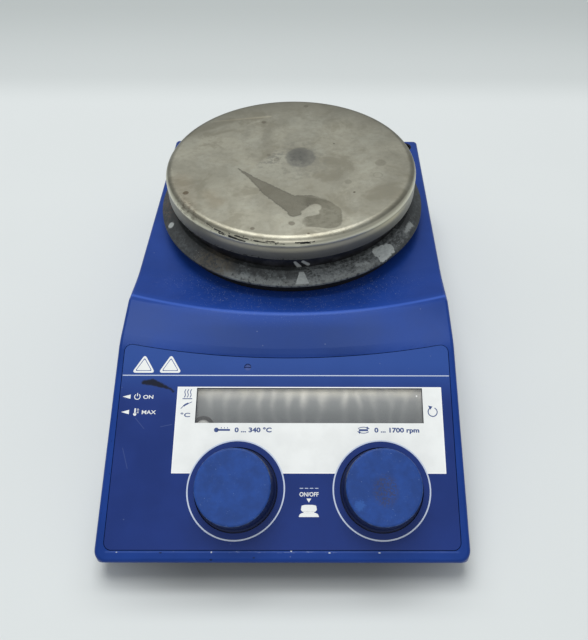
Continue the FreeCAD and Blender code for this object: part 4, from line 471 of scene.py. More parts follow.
def knob_plastic(name, seed, rubbed):
    """Moulded blue knob with painted shade on its sides, scuffed on its top, with pale nicks and a worn edge."""
    f = Finish(name)
    middle = KNOB_MIDDLES[name.split("_")[0]]
    across = f.x - middle.x
    up = (f.y - middle.y) * PANEL_UP.y + (f.z - middle.z) * PANEL_UP.z
    height = (f.y - middle.y) * PANEL_NORMAL.y + (f.z - middle.z) * PANEL_NORMAL.z
    away = (across * across + up * up) ** 0.5
    top = height.rise(11.6, 12.2)
    cloud = f.noise(0.16, 5.0, 0.62, seed=seed)
    f.ground(cloud.rise(0.32, 0.7), colours().knob, 0.86, 1.16)
    # Painted shade: all but the knob's top darker.
    f.lay(1.0 - top, darker(colours().foil, 0.36))
    fine = f.noise(1.3, 4.0, 0.7, seed=seed + 2.0)
    scuff = fine.rise(0.56, 0.70) * f.noise(0.22, 3.0, seed=seed + 5.0).rise(0.45, 0.62) * top
    f.lay(scuff * 0.34, (0.12, 0.2, 0.42))
    nicks = f.cells(0.55, seed=seed).rise(0.075, 0.04) * f.noise(0.3, 2.0, seed=seed + 8.0).rise(0.5, 0.6)
    f.lay(nicks * top * 0.75, (0.3, 0.42, 0.66))
    if rubbed:
        brown = (f.spot(across, up, (0.5, -1.5), 6.2, 0.8) + fine * 5.0 - 2.5).rise(0.5, -2.0)
        f.lay(brown * fine.rise(0.42, 0.6) * 0.6 * top, (0.045, 0.04, 0.05))
        pale = (f.spot(across, up, (-10.4, -7.6), 2.4) + fine * 5.0 - 2.6).rise(0.3, -1.2)
        f.lay(pale * top * 0.42, (0.04, 0.15, 0.52))
    edge = (height.rise(11.2, 11.7) * height.rise(12.35, 11.9) * away.rise(14.9, 15.6)
            * f.noise(0.5, 3.0, seed=seed).rise(0.42, 0.62))
    f.lay(edge * 0.4, (0.10, 0.17, 0.36))
    roughness = 0.44 + scuff * 0.2 + cloud * 0.08
    return f.surface(roughness, normal=f.bump(fine, 0.02), IOR=1.48, Specular_IOR_Level=0.3)


# ---------------------------------------------------------------------------
# Finish of the heating plate
# ---------------------------------------------------------------------------
# The dried spill, as strokes from one (right, back, half width) to another: a long tip, a belly
# and a neck, and then its paler hooked tail. The gap is the clean spot in the hook.
SPILL = (((-28.0, -8.0, 0.2), (-19.0, -17.6, 1.5)), ((-19.0, -17.8, 1.6), (-11.0, -26.6, 3.9)),
         ((-11.0, -27.0, 4.0), (-3.4, -34.2, 5.2)), ((-3.4, -34.2, 5.2), (3.6, -40.6, 6.3)),
         ((3.6, -40.6, 6.3), (3.0, -45.6, 3.6)), ((2.0, -35.6, 3.6), (10.6, -35.2, 3.6)),
         ((10.6, -35.2, 3.6), (18.6, -38.6, 3.6)))
SPILL_TAIL = (((6.0, -36.0, 3.4), (17.0, -39.2, 4.2)), ((17.0, -39.2, 4.2), (21.0, -45.0, 5.4)),
              ((21.0, -45.0, 5.4), (20.0, -52.0, 6.4)), ((20.0, -52.0, 6.4), (11.0, -53.0, 4.2)))
SPILL_GAP = ((8.0, -45.6, 1.6), (13.2, -41.8, 2.9))
# Round spots: right, back, radius and strength.
PLATE_SPOTS = ((-52.8, -29.9, 1.5, 0.85), (1.9, -54.5, 1.6, 0.55), (7.0, 58.9, 1.5, 0.6),
               (-17.3, 40.0, 1.4, 0.5), (23.2, 17.2, 0.5, 0.9), (33.0, -28.8, 0.6, 0.9),
               (-16.8, -58.5, 1.1, 0.6), (10.0, -62.2, 0.7, 0.7), (30.2, -19.7, 1.9, 0.28),
               (48.1, -2.0, 3.0, 0.25), (-8.0, 1.0, 1.7, 0.3), (-12.6, 5.4, 1.2, 0.3))
# Brown marks at the left and old streaks at the back left: the stroke's two ends, how ragged it is,
# where its edge starts and is full, its strength and its colour.
PLATE_STREAKS = (
    (((-41.6, -30.0, 3.0), (-36.0, -38.0, 5.0)), 0.7, (3.0, -4.0), 0.24, (0.22, 0.165, 0.095)),
    (((-57.0, -18.0, 4.0), (-51.0, -38.0, 3.0)), 0.8, (5.0, -4.0), 0.15, (0.26, 0.18, 0.10)),
    (((-60.0, 27.5, 3.4), (-37.0, 42.0, 2.8)), 0.6, (1.8, -1.6), 0.50, (0.16, 0.145, 0.10)),
    (((-37.0, 42.4, 1.2), (-14.0, 45.0, 0.4)), 0.4, (0.9, -0.6), 0.34, (0.20, 0.18, 0.13)),
    (((-46.0, 40.6, 0.3), (-14.0, 46.6, 0.5)), 0.25, (0.9, -0.3), 0.28, (0.62, 0.57, 0.43)))
# Burnt streaks on the plate's rim: (degrees from the front, depth below the top) at both ends, half width.
RIM_BURNS = (((-36.5, 1.1), (-33.0, 1.5), 0.16), ((-32.0, 1.8), (-27.0, 2.1), 0.24),
             ((-29.5, 2.6), (-26.5, 2.7), 0.30), ((-24.6, 2.7), (-17.6, 3.2), 0.52),
             ((-22.0, 1.7), (-16.0, 1.9), 0.20), ((-13.6, 2.1), (-8.0, 2.3), 0.22),
             ((-8.6, 1.7), (-3.4, 1.8), 0.18), ((-4.6, 2.4), (-1.0, 2.4), 0.24),
             ((3.4, 1.9), (11.2, 2.0), 0.24), ((5.6, 2.3), (9.4, 2.4), 0.30))


def steel_clouds(f, fine, grain):
    """Broad and fine unevenness of the steel's colour."""
    base = colours().plate
    f.ground(f.noise(0.028, 5.0, 0.6, distortion=0.6).rise(0.34, 0.66), base, 0.84, 1.14)
    broad = f.noise(0.055, 4.0, 0.6, seed=23.0, distortion=0.5)
    f.lay(broad.rise(0.50, 0.60) * 0.36, (0.41, 0.41, 0.345))
    f.lay(broad.rise(0.47, 0.36) * 0.50, (0.20, 0.185, 0.135))
    f.lay(fine.rise(0.42, 0.68) * 0.36, darker(base, 0.66))
    f.lay(grain.rise(0.5, 0.75) * 0.12, darker(base, 0.6))
    lobes = f.noise(0.075, 3.0, 0.5, seed=8.0)
    f.lay(lobes.rise(0.52, 0.60) * 0.13, darker(base, 0.62))
    f.lay(lobes.rise(0.44, 0.38) * 0.16, darker(base, 1.22))


def dried_spill(f, right, back, fine, grain, wobble):
    """The old spill on the front half of the plate. Returns its dark body and its olive tail."""
    spill = f.strokes(right, back, SPILL)
    spill = spill + wobble * 0.30 + (f.noise(0.85, 3.0, 0.6, seed=33.0) - 0.5) * 1.4
    tail = f.strokes(right, back, SPILL_TAIL) + wobble * 0.35
    gap = f.stroke(right, back, *SPILL_GAP) + wobble * 0.3
    clear = gap.rise(-0.4, 0.5)
    dark = spill.rise(0.30, -0.30) * clear * (right.rise(21.0, 9.0) * 0.85 + 0.15)
    olive = tail.rise(0.5, -0.5) * gap.rise(-0.6, 0.8) * right.rise(5.0, 10.0)
    edge = (spill.rise(0.45, 0.0) * spill.rise(-0.9, -0.2)).clamp() * clear * right.rise(15.0, 8.0)
    f.lay(olive * 0.70, (0.140, 0.133, 0.101))
    f.lay(olive * fine.rise(0.42, 0.60) * 0.30, (0.10, 0.098, 0.076))
    f.lay(dark * 0.72, (0.118, 0.112, 0.086))
    f.lay(dark * grain.rise(0.42, 0.62) * 0.22, (0.07, 0.068, 0.055))
    f.lay(edge * 0.42, (0.085, 0.083, 0.07))
    return dark, olive


def dark_blister(f, right, back, fine, wobble):
    """The blister right of the middle, with its speckled surroundings. Returns its distance."""
    blister = f.spot(right, back, (4.9, 3.1), 8.3, 0.86) + wobble * 0.6
    halo = f.spot(right, back, (4.0, 1.0), 15.0, 0.8) + wobble * 1.4
    speckled = f.stroke(right, back, (-15.0, -5.0, 3.0), (-7.5, 5.0, 3.6)) + wobble * 1.2
    f.lay(speckled.rise(2.0, -2.0) * fine.rise(0.47, 0.56) * 0.40, (0.15, 0.15, 0.135))
    f.lay(halo.rise(4.0, -4.0) * fine.rise(0.44, 0.60) * 0.20, (0.17, 0.17, 0.155))
    f.lay(blister.rise(0.7, -0.9) * 0.60, (0.15, 0.152, 0.14))
    f.lay(f.spot(right, back, (3.6, 5.4), 5.4, 0.9).rise(2.5, -3.0) * 0.45, (0.075, 0.077, 0.075))
    f.lay(blister.rise(0.0, -3.0) * fine.rise(0.5, 0.6) * 0.26, (0.08, 0.08, 0.075))
    return blister


def plate_marks(f, right, back, wobble):
    """Spots, one ring mark and old streaks."""
    for across, up, radius, strength in PLATE_SPOTS:
        mark = (f.spot(right, back, (across, up), radius) + wobble * 0.22).rise(0.3, -0.35)
        f.lay(mark * strength, (0.085, 0.07, 0.05))
    ring_mark = abs(f.spot(right, back, (46.0, -13.6), 2.4)).rise(0.45, 0.1)
    f.lay(ring_mark * 0.25, (0.14, 0.13, 0.1))
    for ends, raggedness, soft, strength, colour in PLATE_STREAKS:
        streak = (f.stroke(right, back, *ends) + wobble * raggedness).rise(*soft)
        f.lay(streak * strength, colour)


def plate_side(f, below, away, turn):
    """The upright side, with painted light and shade: duller, warmer and darker than the top, darker on the left,
    with a painted pool of light at the front, and darkest at its foot. Returns its mask.
    """
    side = below.rise(3.4, 5.4)
    # Painted shade: the side darker than the top, and warmer.
    f.lay(side * 0.72, (0.17, 0.165, 0.125))
    # Painted shade on the left of the side.
    f.lay(side * turn.rise(-26.0, -52.0) * 0.55, (0.055, 0.053, 0.040))
    # Painted light on the front of the side.
    lit = below.rise(8.4, 5.6) * turn.band(-24.0, 50.0, 18.0) * away.rise(63.0, 64.5)
    f.lay(side * lit * 0.8, (0.60, 0.55, 0.37))
    # Painted shade, deepest at the side's foot.
    f.lay(below.rise(6.5, 11.4) * 0.55, (0.045, 0.045, 0.038))
    return side


def burnt_rim(f, below, away, turn):
    """Thin torn burns on the rounded rim at the front left and at its foot. Returns their mask."""
    shred = f.noise(0.42, 5.0, 0.75, stretch=(1.0, 1.0, 2.6), seed=15.0)
    torn = (shred * 3.4 - 1.7) * 0.42
    streaks = greatest((f.stroke(turn, below, (*start, wide), (*end, wide * 0.7)) + torn).rise(0.12, -0.06)
                       for start, end, wide in RIM_BURNS)
    speckles = shred.rise(0.60, 0.625) * turn.band(-36.0, -8.0, 3.0) * below.band(1.2, 3.4, 0.5)
    foot = shred.rise(0.53, 0.58) * turn.rise(-62.0, -55.0) * turn.rise(10.0, 0.0) * below.rise(10.4, 11.6)
    burnt = (streaks * away.rise(62.5, 63.5)).most(speckles * away.rise(63.0, 64.0)).most(foot).clamp()
    f.lay(burnt, (0.010, 0.009, 0.008))
    scorch = f.spot(turn, below, (-50.0, 2.6), 8.0, 2.0).rise(6.0, -4.0) * shred.rise(0.46, 0.6)
    f.lay(scorch * away.rise(60.0, 64.0) * 0.55, (0.10, 0.075, 0.05))
    return burnt


def stained_steel():
    """Satin steel plate: clouds, dried spills, a dark blister, spots and a burnt rim, with painted shade at the
    back of the top, a painted highlight along the front of the rim and painted light and shade on the side.
    """
    f = Finish("stained_steel")
    right, back, away, turn = f.plate_place()
    below = PLATE_TOP - f.z
    fine = f.noise(0.33, 5.0, 0.68, seed=4.0)
    grain = f.noise(2.2, 3.0, 0.6, seed=1.0)
    wobble = f.noise(0.42, 3.0, 0.6, seed=6.0) * 4.0 - 2.0
    steel_clouds(f, fine, grain)
    dark, olive = dried_spill(f, right, back, fine, grain, wobble)
    blister = dark_blister(f, right, back, fine, wobble)
    plate_marks(f, right, back, wobble)
    shade_and_scratch_tone = darker(colours().plate, 0.55)
    # Painted shade: the top darker towards its back edge.
    f.lay(away.rise(44.0, 66.0) * back.rise(4.0, 50.0) * 0.70, shade_and_scratch_tone)
    # Painted highlight on the front of the rounded rim, which is also polished smoother.
    polish_and_highlight = below.band(1.6, 3.8, 0.7) * turn.band(-70.0, 70.0, 30.0) * away.rise(63.0, 64.5)
    f.lay(polish_and_highlight * 0.62, (0.78, 0.75, 0.60))
    scratch = f.noise(0.10, 6.0, 0.8, stretch=(1.0, 6.0, 1.0), seed=12.0).rise(0.62, 0.72)
    f.lay(scratch * below.rise(1.2, 0.3) * 0.05, shade_and_scratch_tone)
    side = plate_side(f, below, away, turn)
    burnt = burnt_rim(f, below, away, turn)
    roughness = (0.36 - polish_and_highlight * 0.08 + fine * 0.10 + dark * 0.10 + olive * 0.08 + burnt * 0.35
                 - below.rise(1.0, 4.0) * 0.04)
    metallic = (1.0 - burnt * 0.9 - dark * 0.12 - side * 0.6).clamp()
    brushed = f.noise(1.1, 3.0, 0.6, stretch=(1.0, 1.0, 6.0), seed=3.0)
    relief = brushed * 0.5 + fine * 0.5 + blister.rise(1.0, -3.0) * 0.4
    return f.surface(roughness, metallic, normal=f.bump(relief, 0.022))


# ---------------------------------------------------------------------------
# Finishes of the rings
# ---------------------------------------------------------------------------
# Where the flared ring's enamel has come off: strokes between (right, back, half width), how ragged
# their edge is, where it starts and is full, and their strength.
FLAKES = (
    ((((44.6, -50.6, 2.4), (51.6, -46.6, 2.6)), ((51.0, -49.0, 1.6), (47.0, -53.6, 1.5))),
     0.9, (0.25, -0.25), 1.0),
    ((((61.0, -33.0, 0.9), (64.6, -26.0, 1.4)),), 1.3, (0.4, -0.5), 0.6),
    ((((34.0, -59.6, 1.0), (40.0, -57.4, 0.8)),), 1.3, (0.2, -0.7), 0.5))
# Two scrapes on the neck, from one (degrees from the front, height, half width) to another.
NECK_SCRAPES = (((3.0, 67.8, 0.6), (4.7, 65.0, 1.0)), ((6.6, 68.0, 0.7), (8.8, 66.0, 0.8)))


def enamel_flakes(f, right, back, away, turn, wobble):
    """Pale patches where the enamel has flaked off. Returns their mask."""
    crisp = f.noise(0.9, 5.0, 0.6, seed=21.0) * 2.4 - 1.2
    patches = greatest((f.strokes(right, back, strokes) + crisp * raggedness).rise(*soft) * strength
                       for strokes, raggedness, soft, strength in FLAKES)
    slanted = (abs(turn - 5.6) + (f.z - 60.6) * 0.55 + crisp * 0.30).rise(3.1, 2.8)
    slanted = slanted * f.z.band(61.2, 64.0, 0.3)
    dot = (f.spot(turn, away, (-67.0, 70.0), 1.5) + wobble * 0.25).rise(0.4, -0.3)
    flake = patches.most(slanted).most(dot)
    f.lay(flake.clamp() * 0.95, colours().flake)
    return flake


def chalky_bands(f, back, turn):
    """Paler worn bands at the ring's outer edge and fine spray on its front half."""
    outer = turn.band(-24.0, 34.0, 10.0) * f.z.rise(62.9, 61.6)
    f.lay(outer * f.noise(0.5, 4.0, 0.7, seed=27.0).rise(0.36, 0.52) * 0.42, (0.30, 0.325, 0.32))
    streaks = f.noise(0.9, 4.0, 0.7, stretch=(0.5, 0.5, 2.0), seed=5.0).rise(0.40, 0.62)
    f.lay(turn.band(8.0, 58.0, 9.0) * streaks * f.z.rise(60.8, 61.6) * 0.50, (0.22, 0.24, 0.245))
    spray = f.cells(0.8, seed=3.0).rise(0.16, 0.08) * f.noise(0.2, 2.0, seed=7.0).rise(0.5, 0.6)
    f.lay(spray * back.rise(20.0, -20.0) * 0.7, (0.35, 0.38, 0.38))


def weathered_enamel():
    """Flared ring: dark enamel that has gone chalky, flaked at the front, with rust, and with the plate's painted
    shadow on its upper part.
    """
    f = Finish("weathered_enamel")
    right, back, away, turn = f.plate_place()
    fine = f.noise(0.55, 6.0, 0.7)
    coarse = f.noise(0.11, 4.0, 0.6, seed=3.0, distortion=0.8)
    wobble = fine * 3.0 - 1.5
    f.ground(fine.rise(0.35, 0.7), colours().ring, 0.65, 1.6)
    chalk = coarse.rise(0.46, 0.62) * (turn.band(-22.0, 30.0, 22.0) * 0.8 + 0.14)
    f.lay(chalk * fine.rise(0.36, 0.6) * 0.7, (0.21, 0.235, 0.24))
    # Painted shadow of the plate: the ring darker towards its top.
    f.lay(f.z.rise(62.7, 63.9) * 0.6, darker(colours().ring, 0.5))
    flake = enamel_flakes(f, right, back, away, turn, wobble)
    chalky_bands(f, back, turn)
    front_rust = (f.spot(turn, f.z, (-33.0, 62.2), 10.0, 2.2) + wobble * 4.0).rise(3.0, -4.0)
    f.lay(front_rust * fine.rise(0.4, 0.58) * 0.75, (0.075, 0.062, 0.042))
    left_rust = turn.rise(-62.0, -78.0) * turn.rise(-118.0, -100.0) * fine.rise(0.5, 0.62)
    f.lay(left_rust * 0.6, (0.09, 0.045, 0.03))
    relief = fine * 0.6 - flake * 0.7 - coarse * 0.2
    return f.surface(0.46 + fine * 0.24 + flake * 0.12, normal=f.bump(relief, 0.09), IOR=1.5)


def black_enamel():
    """Smooth black enamel on the neck, with two pale scrapes at the front."""
    f = Finish("black_enamel")
    *_, turn = f.plate_place()
    cloud = f.noise(0.2, 4.0, 0.6)
    f.ground(cloud.rise(0.45, 0.75), colours().black, 1.0, 4.0)
    wobble = cloud * 1.6 - 0.8
    mark = (f.strokes(turn, f.z, NECK_SCRAPES) + wobble * 0.3).rise(0.3, -0.25)
    f.lay(mark * 0.85, (0.36, 0.38, 0.38))
    return f.surface(0.24 + cloud * 0.16 + mark * 0.3, normal=f.bump(cloud, 0.03), IOR=1.5)


# ---------------------------------------------------------------------------
# Finishes of the display
# ---------------------------------------------------------------------------
# Painted reflection: the display's grey from its near edge to its far edge.
DISPLAY_REFLECTION_TONES = [(0.0, (0.105, 0.115, 0.118)), (0.25, (0.14, 0.152, 0.154)), (0.62, (0.25, 0.262, 0.258)),
                 (0.86, (0.48, 0.475, 0.44)), (1.0, (0.60, 0.585, 0.53))]


def display_bubble(f, across, along):
    """Dark-rimmed bubble in the display's near left corner, and one bright dot."""
    bubble = f.spot(across, along, (-37.2, 57.0), 5.0, 1.05)
    f.lay(bubble.rise(0.15, -0.15), (0.34, 0.34, 0.32))
    f.lay(bubble.rise(-2.2, -2.7) * 0.7, (0.62, 0.62, 0.58))
    f.lay(bubble.rise(-2.1, -1.6) * bubble.rise(0.2, -0.1) * 0.95, (0.012, 0.012, 0.014))
    f.lay(f.spot(across, along, (60.2, 71.2), 0.35).rise(0.2, -0.1), (0.9, 0.9, 0.88))


def silver_display():
    """Unlit display cell: silver grey, with painted reflections that make it paler towards its far edge and in
    upright bands there, a painted glare near that edge and painted shade at its ends.
    """
    f = Finish("silver_display")
    across, along = f.panel_place()
    s = sizes()
    share = (along - s.window_bottom) / (s.window_top - s.window_bottom)
    slow = f.noise(0.035, 2.0, seed=2.0)
    f.colour = f.ramp(share, DISPLAY_REFLECTION_TONES)
    # Painted reflections of long lamps: upright pale bands.
    wave = ((across - 2.5 + (slow - 0.5) * 17.0) * (2.0 * math.pi / 7.4)).math("COSINE") * 0.5 + 0.5
    wave = wave ** 2.2
    strong = abs(across - 12.0).rise(34.0, 6.0) * 0.5 + 0.3
    strong = strong * (f.noise(0.11, 2.0, seed=12.0).rise(0.30, 0.62) * 0.8 + 0.4)
    f.lay(wave * share.rise(0.30, 0.98) * strong * 0.72, (0.92, 0.89, 0.80))
    f.lay(wave * 0.07, (0.6, 0.6, 0.56))
    # Painted glare near the far edge.
    painted_glare = share.rise(0.70, 0.95) * f.noise(0.10, 3.0, seed=17.0).rise(0.36, 0.60)
    f.lay(painted_glare * 0.45, (0.90, 0.86, 0.70))
    # Painted shade at the left and right ends.
    f.lay(across.rise(-33.0, -41.0) * 0.4, (0.15, 0.155, 0.15))
    f.lay(across.rise(50.0, 62.0) * 0.14, (0.18, 0.175, 0.165))
    lines = ((along * (2.0 * math.pi / 0.62)).math("SINE") * 0.5 + 0.5) * 0.05
    f.lay(lines, (0.05, 0.05, 0.05))
    display_bubble(f, across, along)
    return f.surface(slow * 0.08 + 0.34, normal=f.bump(f.noise(2.0, 2.0), 0.003))


def clear_window():
    """Display window: clear, with faint wipe marks."""
    f = Finish("clear_window")
    wipe = f.noise(0.25, 5.0, 0.7, stretch=(1.0, 3.0, 1.0))
    f.colour = f.mix(wipe, (0.72, 0.74, 0.75), (0.80, 0.82, 0.82))
    return f.surface(wipe * 0.10 + 0.05, alpha=wipe.rise(0.4, 0.8) * 0.03 + 0.035, IOR=1.46)


# ---------------------------------------------------------------------------
# Finishes of the other parts
# ---------------------------------------------------------------------------
def metal(name, colour, roughness=0.32, grain=0.8, stretch=(1.0, 1.0, 1.0), tarnish=0.35, seed=0.0):
    """Bare or plated metal with machining grain and tarnish."""
    f = Finish(name)
    lines = f.noise(grain, 4.0, 0.6, stretch=stretch, seed=seed)
    cloud = f.noise(0.09, 4.0, 0.6, seed=seed + 3.0)
    f.ground(lines, colour, 0.86, 1.0)
    f.lay(cloud.rise(0.45, 0.75) * tarnish, darker(colour, 0.5))
    return f.surface(roughness + lines * 0.12 + cloud * 0.08, 1.0, normal=f.bump(lines, 0.01))


def moulded(name, colour, roughness=0.45, grain=1.2, depth=0.02, seed=0.0, metallic=0.0):
    """Moulded plastic, rubber or coating with a fine texture and slight colour shift."""
    f = Finish(name)
    skin = f.noise(grain, 4.0, 0.65, seed=seed)
    cloud = f.noise(0.07, 3.0, seed=seed + 5.0)
    f.ground(cloud.rise(0.3, 0.7), colour, 0.82, 1.15)
    f.lay(skin.rise(0.6, 0.8) * 0.2, darker(colour, 1.7))
    return f.surface(roughness + skin * 0.14, metallic, normal=f.bump(skin, depth))


def circuit_board():
    """Green solder mask with copper tracks under it and rows of pads."""
    f = Finish("circuit_board")
    tracks = f.node("ShaderNodeTexBrick", {"offset": 0.5}, Vector=f.place, Scale=0.22, Mortar_Size=0.05,
                    Brick_Width=0.9, Row_Height=0.35)
    line = Value(f, tracks.outputs["Fac"])
    pads = f.cells(0.32, seed=2.0).rise(0.16, 0.12)
    f.colour = f.mix(line * 0.7, (0.012, 0.10, 0.035), (0.03, 0.19, 0.07))
    f.lay(pads * 0.9, (0.62, 0.60, 0.52))
    return f.surface(0.34 - pads * 0.08, pads * 0.9, normal=f.bump(line * 0.5 + pads * 0.5, 0.03))


def stacked_sheets(name, colour, axis, pitch=0.9):
    """Laminated iron: fine edges of sheets along one axis."""
    f = Finish(name)
    along = {"x": f.x, "y": f.y, "z": f.z}[axis]
    ridge = (along * (2.0 * math.pi / pitch)).math("SINE") * 0.5 + 0.5
    cloud = f.noise(0.3, 4.0)
    f.ground(ridge, colour, 0.45, 1.0)
    f.lay(cloud.rise(0.5, 0.75) * 0.5, (0.12, 0.06, 0.03))
    return f.surface(cloud * 0.2 + 0.4, 0.85, normal=f.bump(ridge, 0.06))


def wound_wire(name, colour, axis):
    """Enamelled wire laid side by side, with painted shade in the grooves between turns."""
    f = Finish(name)
    along = {"x": f.x, "y": f.y, "z": f.z}[axis]
    sway = f.noise(0.25, 2.0) * 0.8
    turn = abs(((along + sway) * (math.pi / 0.7)).math("SINE"))
    # Painted shade: darker in the grooves between the turns.
    f.ground(turn, colour, 0.35, 1.0)
    return f.surface(0.30 - turn * 0.08, 0.9, normal=f.bump(turn, 0.12), coat=0.5)


def mineral_board():
    """Pressed mineral insulation with pits and mica flakes."""
    f = Finish("mineral_board")
    pits = f.cells(0.7).rise(0.1, 0.3)
    flakes = f.cells(0.4, seed=5.0, feature="F2").rise(0.5, 0.8)
    f.colour = f.mix(pits, (0.42, 0.39, 0.33), (0.66, 0.62, 0.54))
    f.lay(flakes * 0.3, (0.82, 0.80, 0.74))
    return f.surface(0.85, normal=f.bump(pits, 0.15))


def braided_sleeve():
    """Glass fibre braid over the heater leads."""
    f = Finish("braided_sleeve")
    left = (f.x * 2.4 + f.z * 2.4 + f.y * 2.4).math("SINE")
    right = (f.x * 2.4 - f.z * 2.4 - f.y * 2.4).math("SINE")
    weave = left.most(right) * 0.5 + 0.5
    f.colour = f.mix(weave, (0.36, 0.33, 0.27), (0.74, 0.71, 0.63))
    return f.surface(0.8, normal=f.bump(weave, 0.12))


def ribbon_stripes():
    """Flat cable: grey wires side by side with one red edge wire, and painted shade in the grooves between the
    wires.
    """
    f = Finish("ribbon_stripes")
    wave = abs((f.x * (math.pi / 1.27)).math("SINE"))
    edge = f.x.rise(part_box("ribbon_cable")[0].x / MM + 1.5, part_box("ribbon_cable")[0].x / MM + 1.0)
    # Painted shade: darker in the grooves between the wires.
    f.colour = f.mix(wave, (0.14, 0.14, 0.15), (0.42, 0.42, 0.44))
    f.lay(edge, (0.5, 0.03, 0.03))
    return f.surface(wave * 0.1 + 0.4, normal=f.bump(wave, 0.3))


# ---------------------------------------------------------------------------
# Shapes
# ---------------------------------------------------------------------------
def to_object(name, mesh, body, material):
    """Links a mesh as a piece that rides on a body, with one material."""
    mesh.materials.clear()
    mesh.materials.append(material)
    piece = bpy.data.objects.new(name, mesh)
    bpy.context.scene.collection.objects.link(piece)
    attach(piece, body)
    return piece


def panel_matrix(level=0.0):
    """From millimetres across, along and above the panel to metres in the frame."""
    start = KNOB_MIDDLES["speed"] - PANEL_UP * sizes().knob_along
    start = Vector((0, start.y, start.z)) + PANEL_NORMAL * level
    turn = Matrix((Vector((1, 0, 0)), PANEL_UP, PANEL_NORMAL)).transposed().to_4x4()
    return Matrix.Scale(MM, 4) @ Matrix.Translation(start) @ turn


def inside(spot, loops):
    """Whether a point is inside the first loop and outside the others."""
    crossings = 0
    for loop in loops:
        for (ax, ay), (bx, by) in zip(loop, loop[1:] + loop[:1]):
            if (ay > spot[1]) != (by > spot[1]):
                crossings += spot[0] < ax + (spot[1] - ay) * (bx - ax) / (by - ay)
    return crossings % 2 == 1


def slab_parts(outline, holes=()):
    """Vertices and faces of a thin closed slab with that outline, in the panel's millimetres."""
    loops = [list(outline)] + [list(hole) for hole in holes]
    corners, edges = [], []
    for loop in loops:
        start = len(corners)
        corners += [Vector(point) for point in loop]
        edges += [(start + step, start + (step + 1) % len(loop)) for step in range(len(loop))]
    spots, _, triangles, *_ = delaunay_2d_cdt(corners, edges, [], 0, 1e-5)
    count = len(spots)
    faces, rims = [], set()
    for a, b, c in triangles:
        if not inside((spots[a] + spots[b] + spots[c]) / 3, loops):
            continue
        if (spots[b] - spots[a]).cross(spots[c] - spots[a]) < 0:
            b, c = c, b
        faces += [(a, b, c), (c + count, b + count, a + count)]
        for rim in ((a, b), (b, c), (c, a)):
            rims.symmetric_difference_update({rim} if rim[::-1] not in rims else {rim[::-1]})
    faces += [(a, a + count, b + count, b) for a, b in sorted(rims)]
    return [(*spot, sizes().film) for spot in spots] + [(*spot, 0.0) for spot in spots], faces


def film_piece(name, slabs, material, level):
    """One printed mark of several slabs, laid on the panel."""
    vertices, faces = [], []
    for part_vertices, part_faces in slabs:
        offset = len(vertices)
        vertices += part_vertices
        faces += [tuple(index + offset for index in face) for face in part_faces]
    mesh = bpy.data.meshes.new(name)
    mesh.from_pydata(vertices, [], faces)
    mesh.transform(panel_matrix(level))
    mesh.update()
    return to_object(name, mesh, "housing", material)


def arc(centre, radius, start, end, steps=48):
    """Points along an arc between two angles in degrees."""
    angles = [math.radians(start + (end - start) * step / steps) for step in range(steps + 1)]
    return [(centre[0] + radius * math.cos(t), centre[1] + radius * math.sin(t)) for t in angles]


def corners_of(left, right, low, high):
    """The corners of a rectangle."""
    return [(left, low), (right, low), (right, high), (left, high)]


def circle(centre, radius, steps):
    return arc(centre, radius, 0.0, 360.0, steps)[:-1]


def ring_slab(centre, outer, inner):
    return slab_parts(circle(centre, outer, 120), [circle(centre, inner, 120)])


def ribbon_outline(points, width):
    """Outline of a line of that width through the points."""
    spots = [Vector(point) for point in points]
    left, right = [], []
    for index, spot in enumerate(spots):
        before, after = spots[max(index - 1, 0)], spots[min(index + 1, len(spots) - 1)]
        side = (after - before).normalized().orthogonal() * width / 2
        left.append(tuple(spot + side))
        right.append(tuple(spot - side))
    return left + right[::-1]


def line_slab(points, width):
    """A line of that width through the points."""
    return slab_parts(ribbon_outline(points, width))


def rounded(corners, radius):
    """The polygon with each corner rounded."""
    steps = 6
    spots = [Vector(corner) for corner in corners]
    points = []
    for index, corner in enumerate(spots):
        arriving = (spots[index - 1] - corner).normalized()
        leaving = (spots[(index + 1) % len(spots)] - corner).normalized()
        half = arriving.angle(leaving) / 2
        reach = radius / math.tan(half)
        for step in range(steps + 1):
            share = step / steps
            first = (corner + arriving * reach).lerp(corner, share)
            second = corner.lerp(corner + leaving * reach, share)
            points.append(tuple(first.lerp(second, share)))
    return points


# Height of a capital letter, as a share of the font's size.
CAPITALS = 0.72


def word(name, text, left, right, along, height, material, level, bold):
    """Lettering of that height between two places across the panel, its foot at along."""
    curve = bpy.data.curves.new(name, "FONT")
    curve.body, curve.size, curve.offset = text, height / CAPITALS, bold
    curve.extrude, curve.resolution_u, curve.fill_mode = sizes().film / 2, 4, "BOTH"
    holder = bpy.data.objects.new(name + "_text", curve)
    bpy.context.scene.collection.objects.link(holder)
    bpy.context.view_layer.update()
    mesh = bpy.data.meshes.new_from_object(holder.evaluated_get(bpy.context.evaluated_depsgraph_get()))
    bpy.data.objects.remove(holder)
    mesh.name = name
    places = [vertex.co.x for vertex in mesh.vertices]
    stretch = (right - left) / (max(places) - min(places))
    mesh.transform(Matrix.Diagonal((stretch, 1, 1, 1)) @ Matrix.Translation((-min(places), 0, 0)))
    mesh.transform(panel_matrix(level + sizes().film / 2) @ Matrix.Translation((left, along, 0)))
    return to_object(name, mesh, "housing", material)


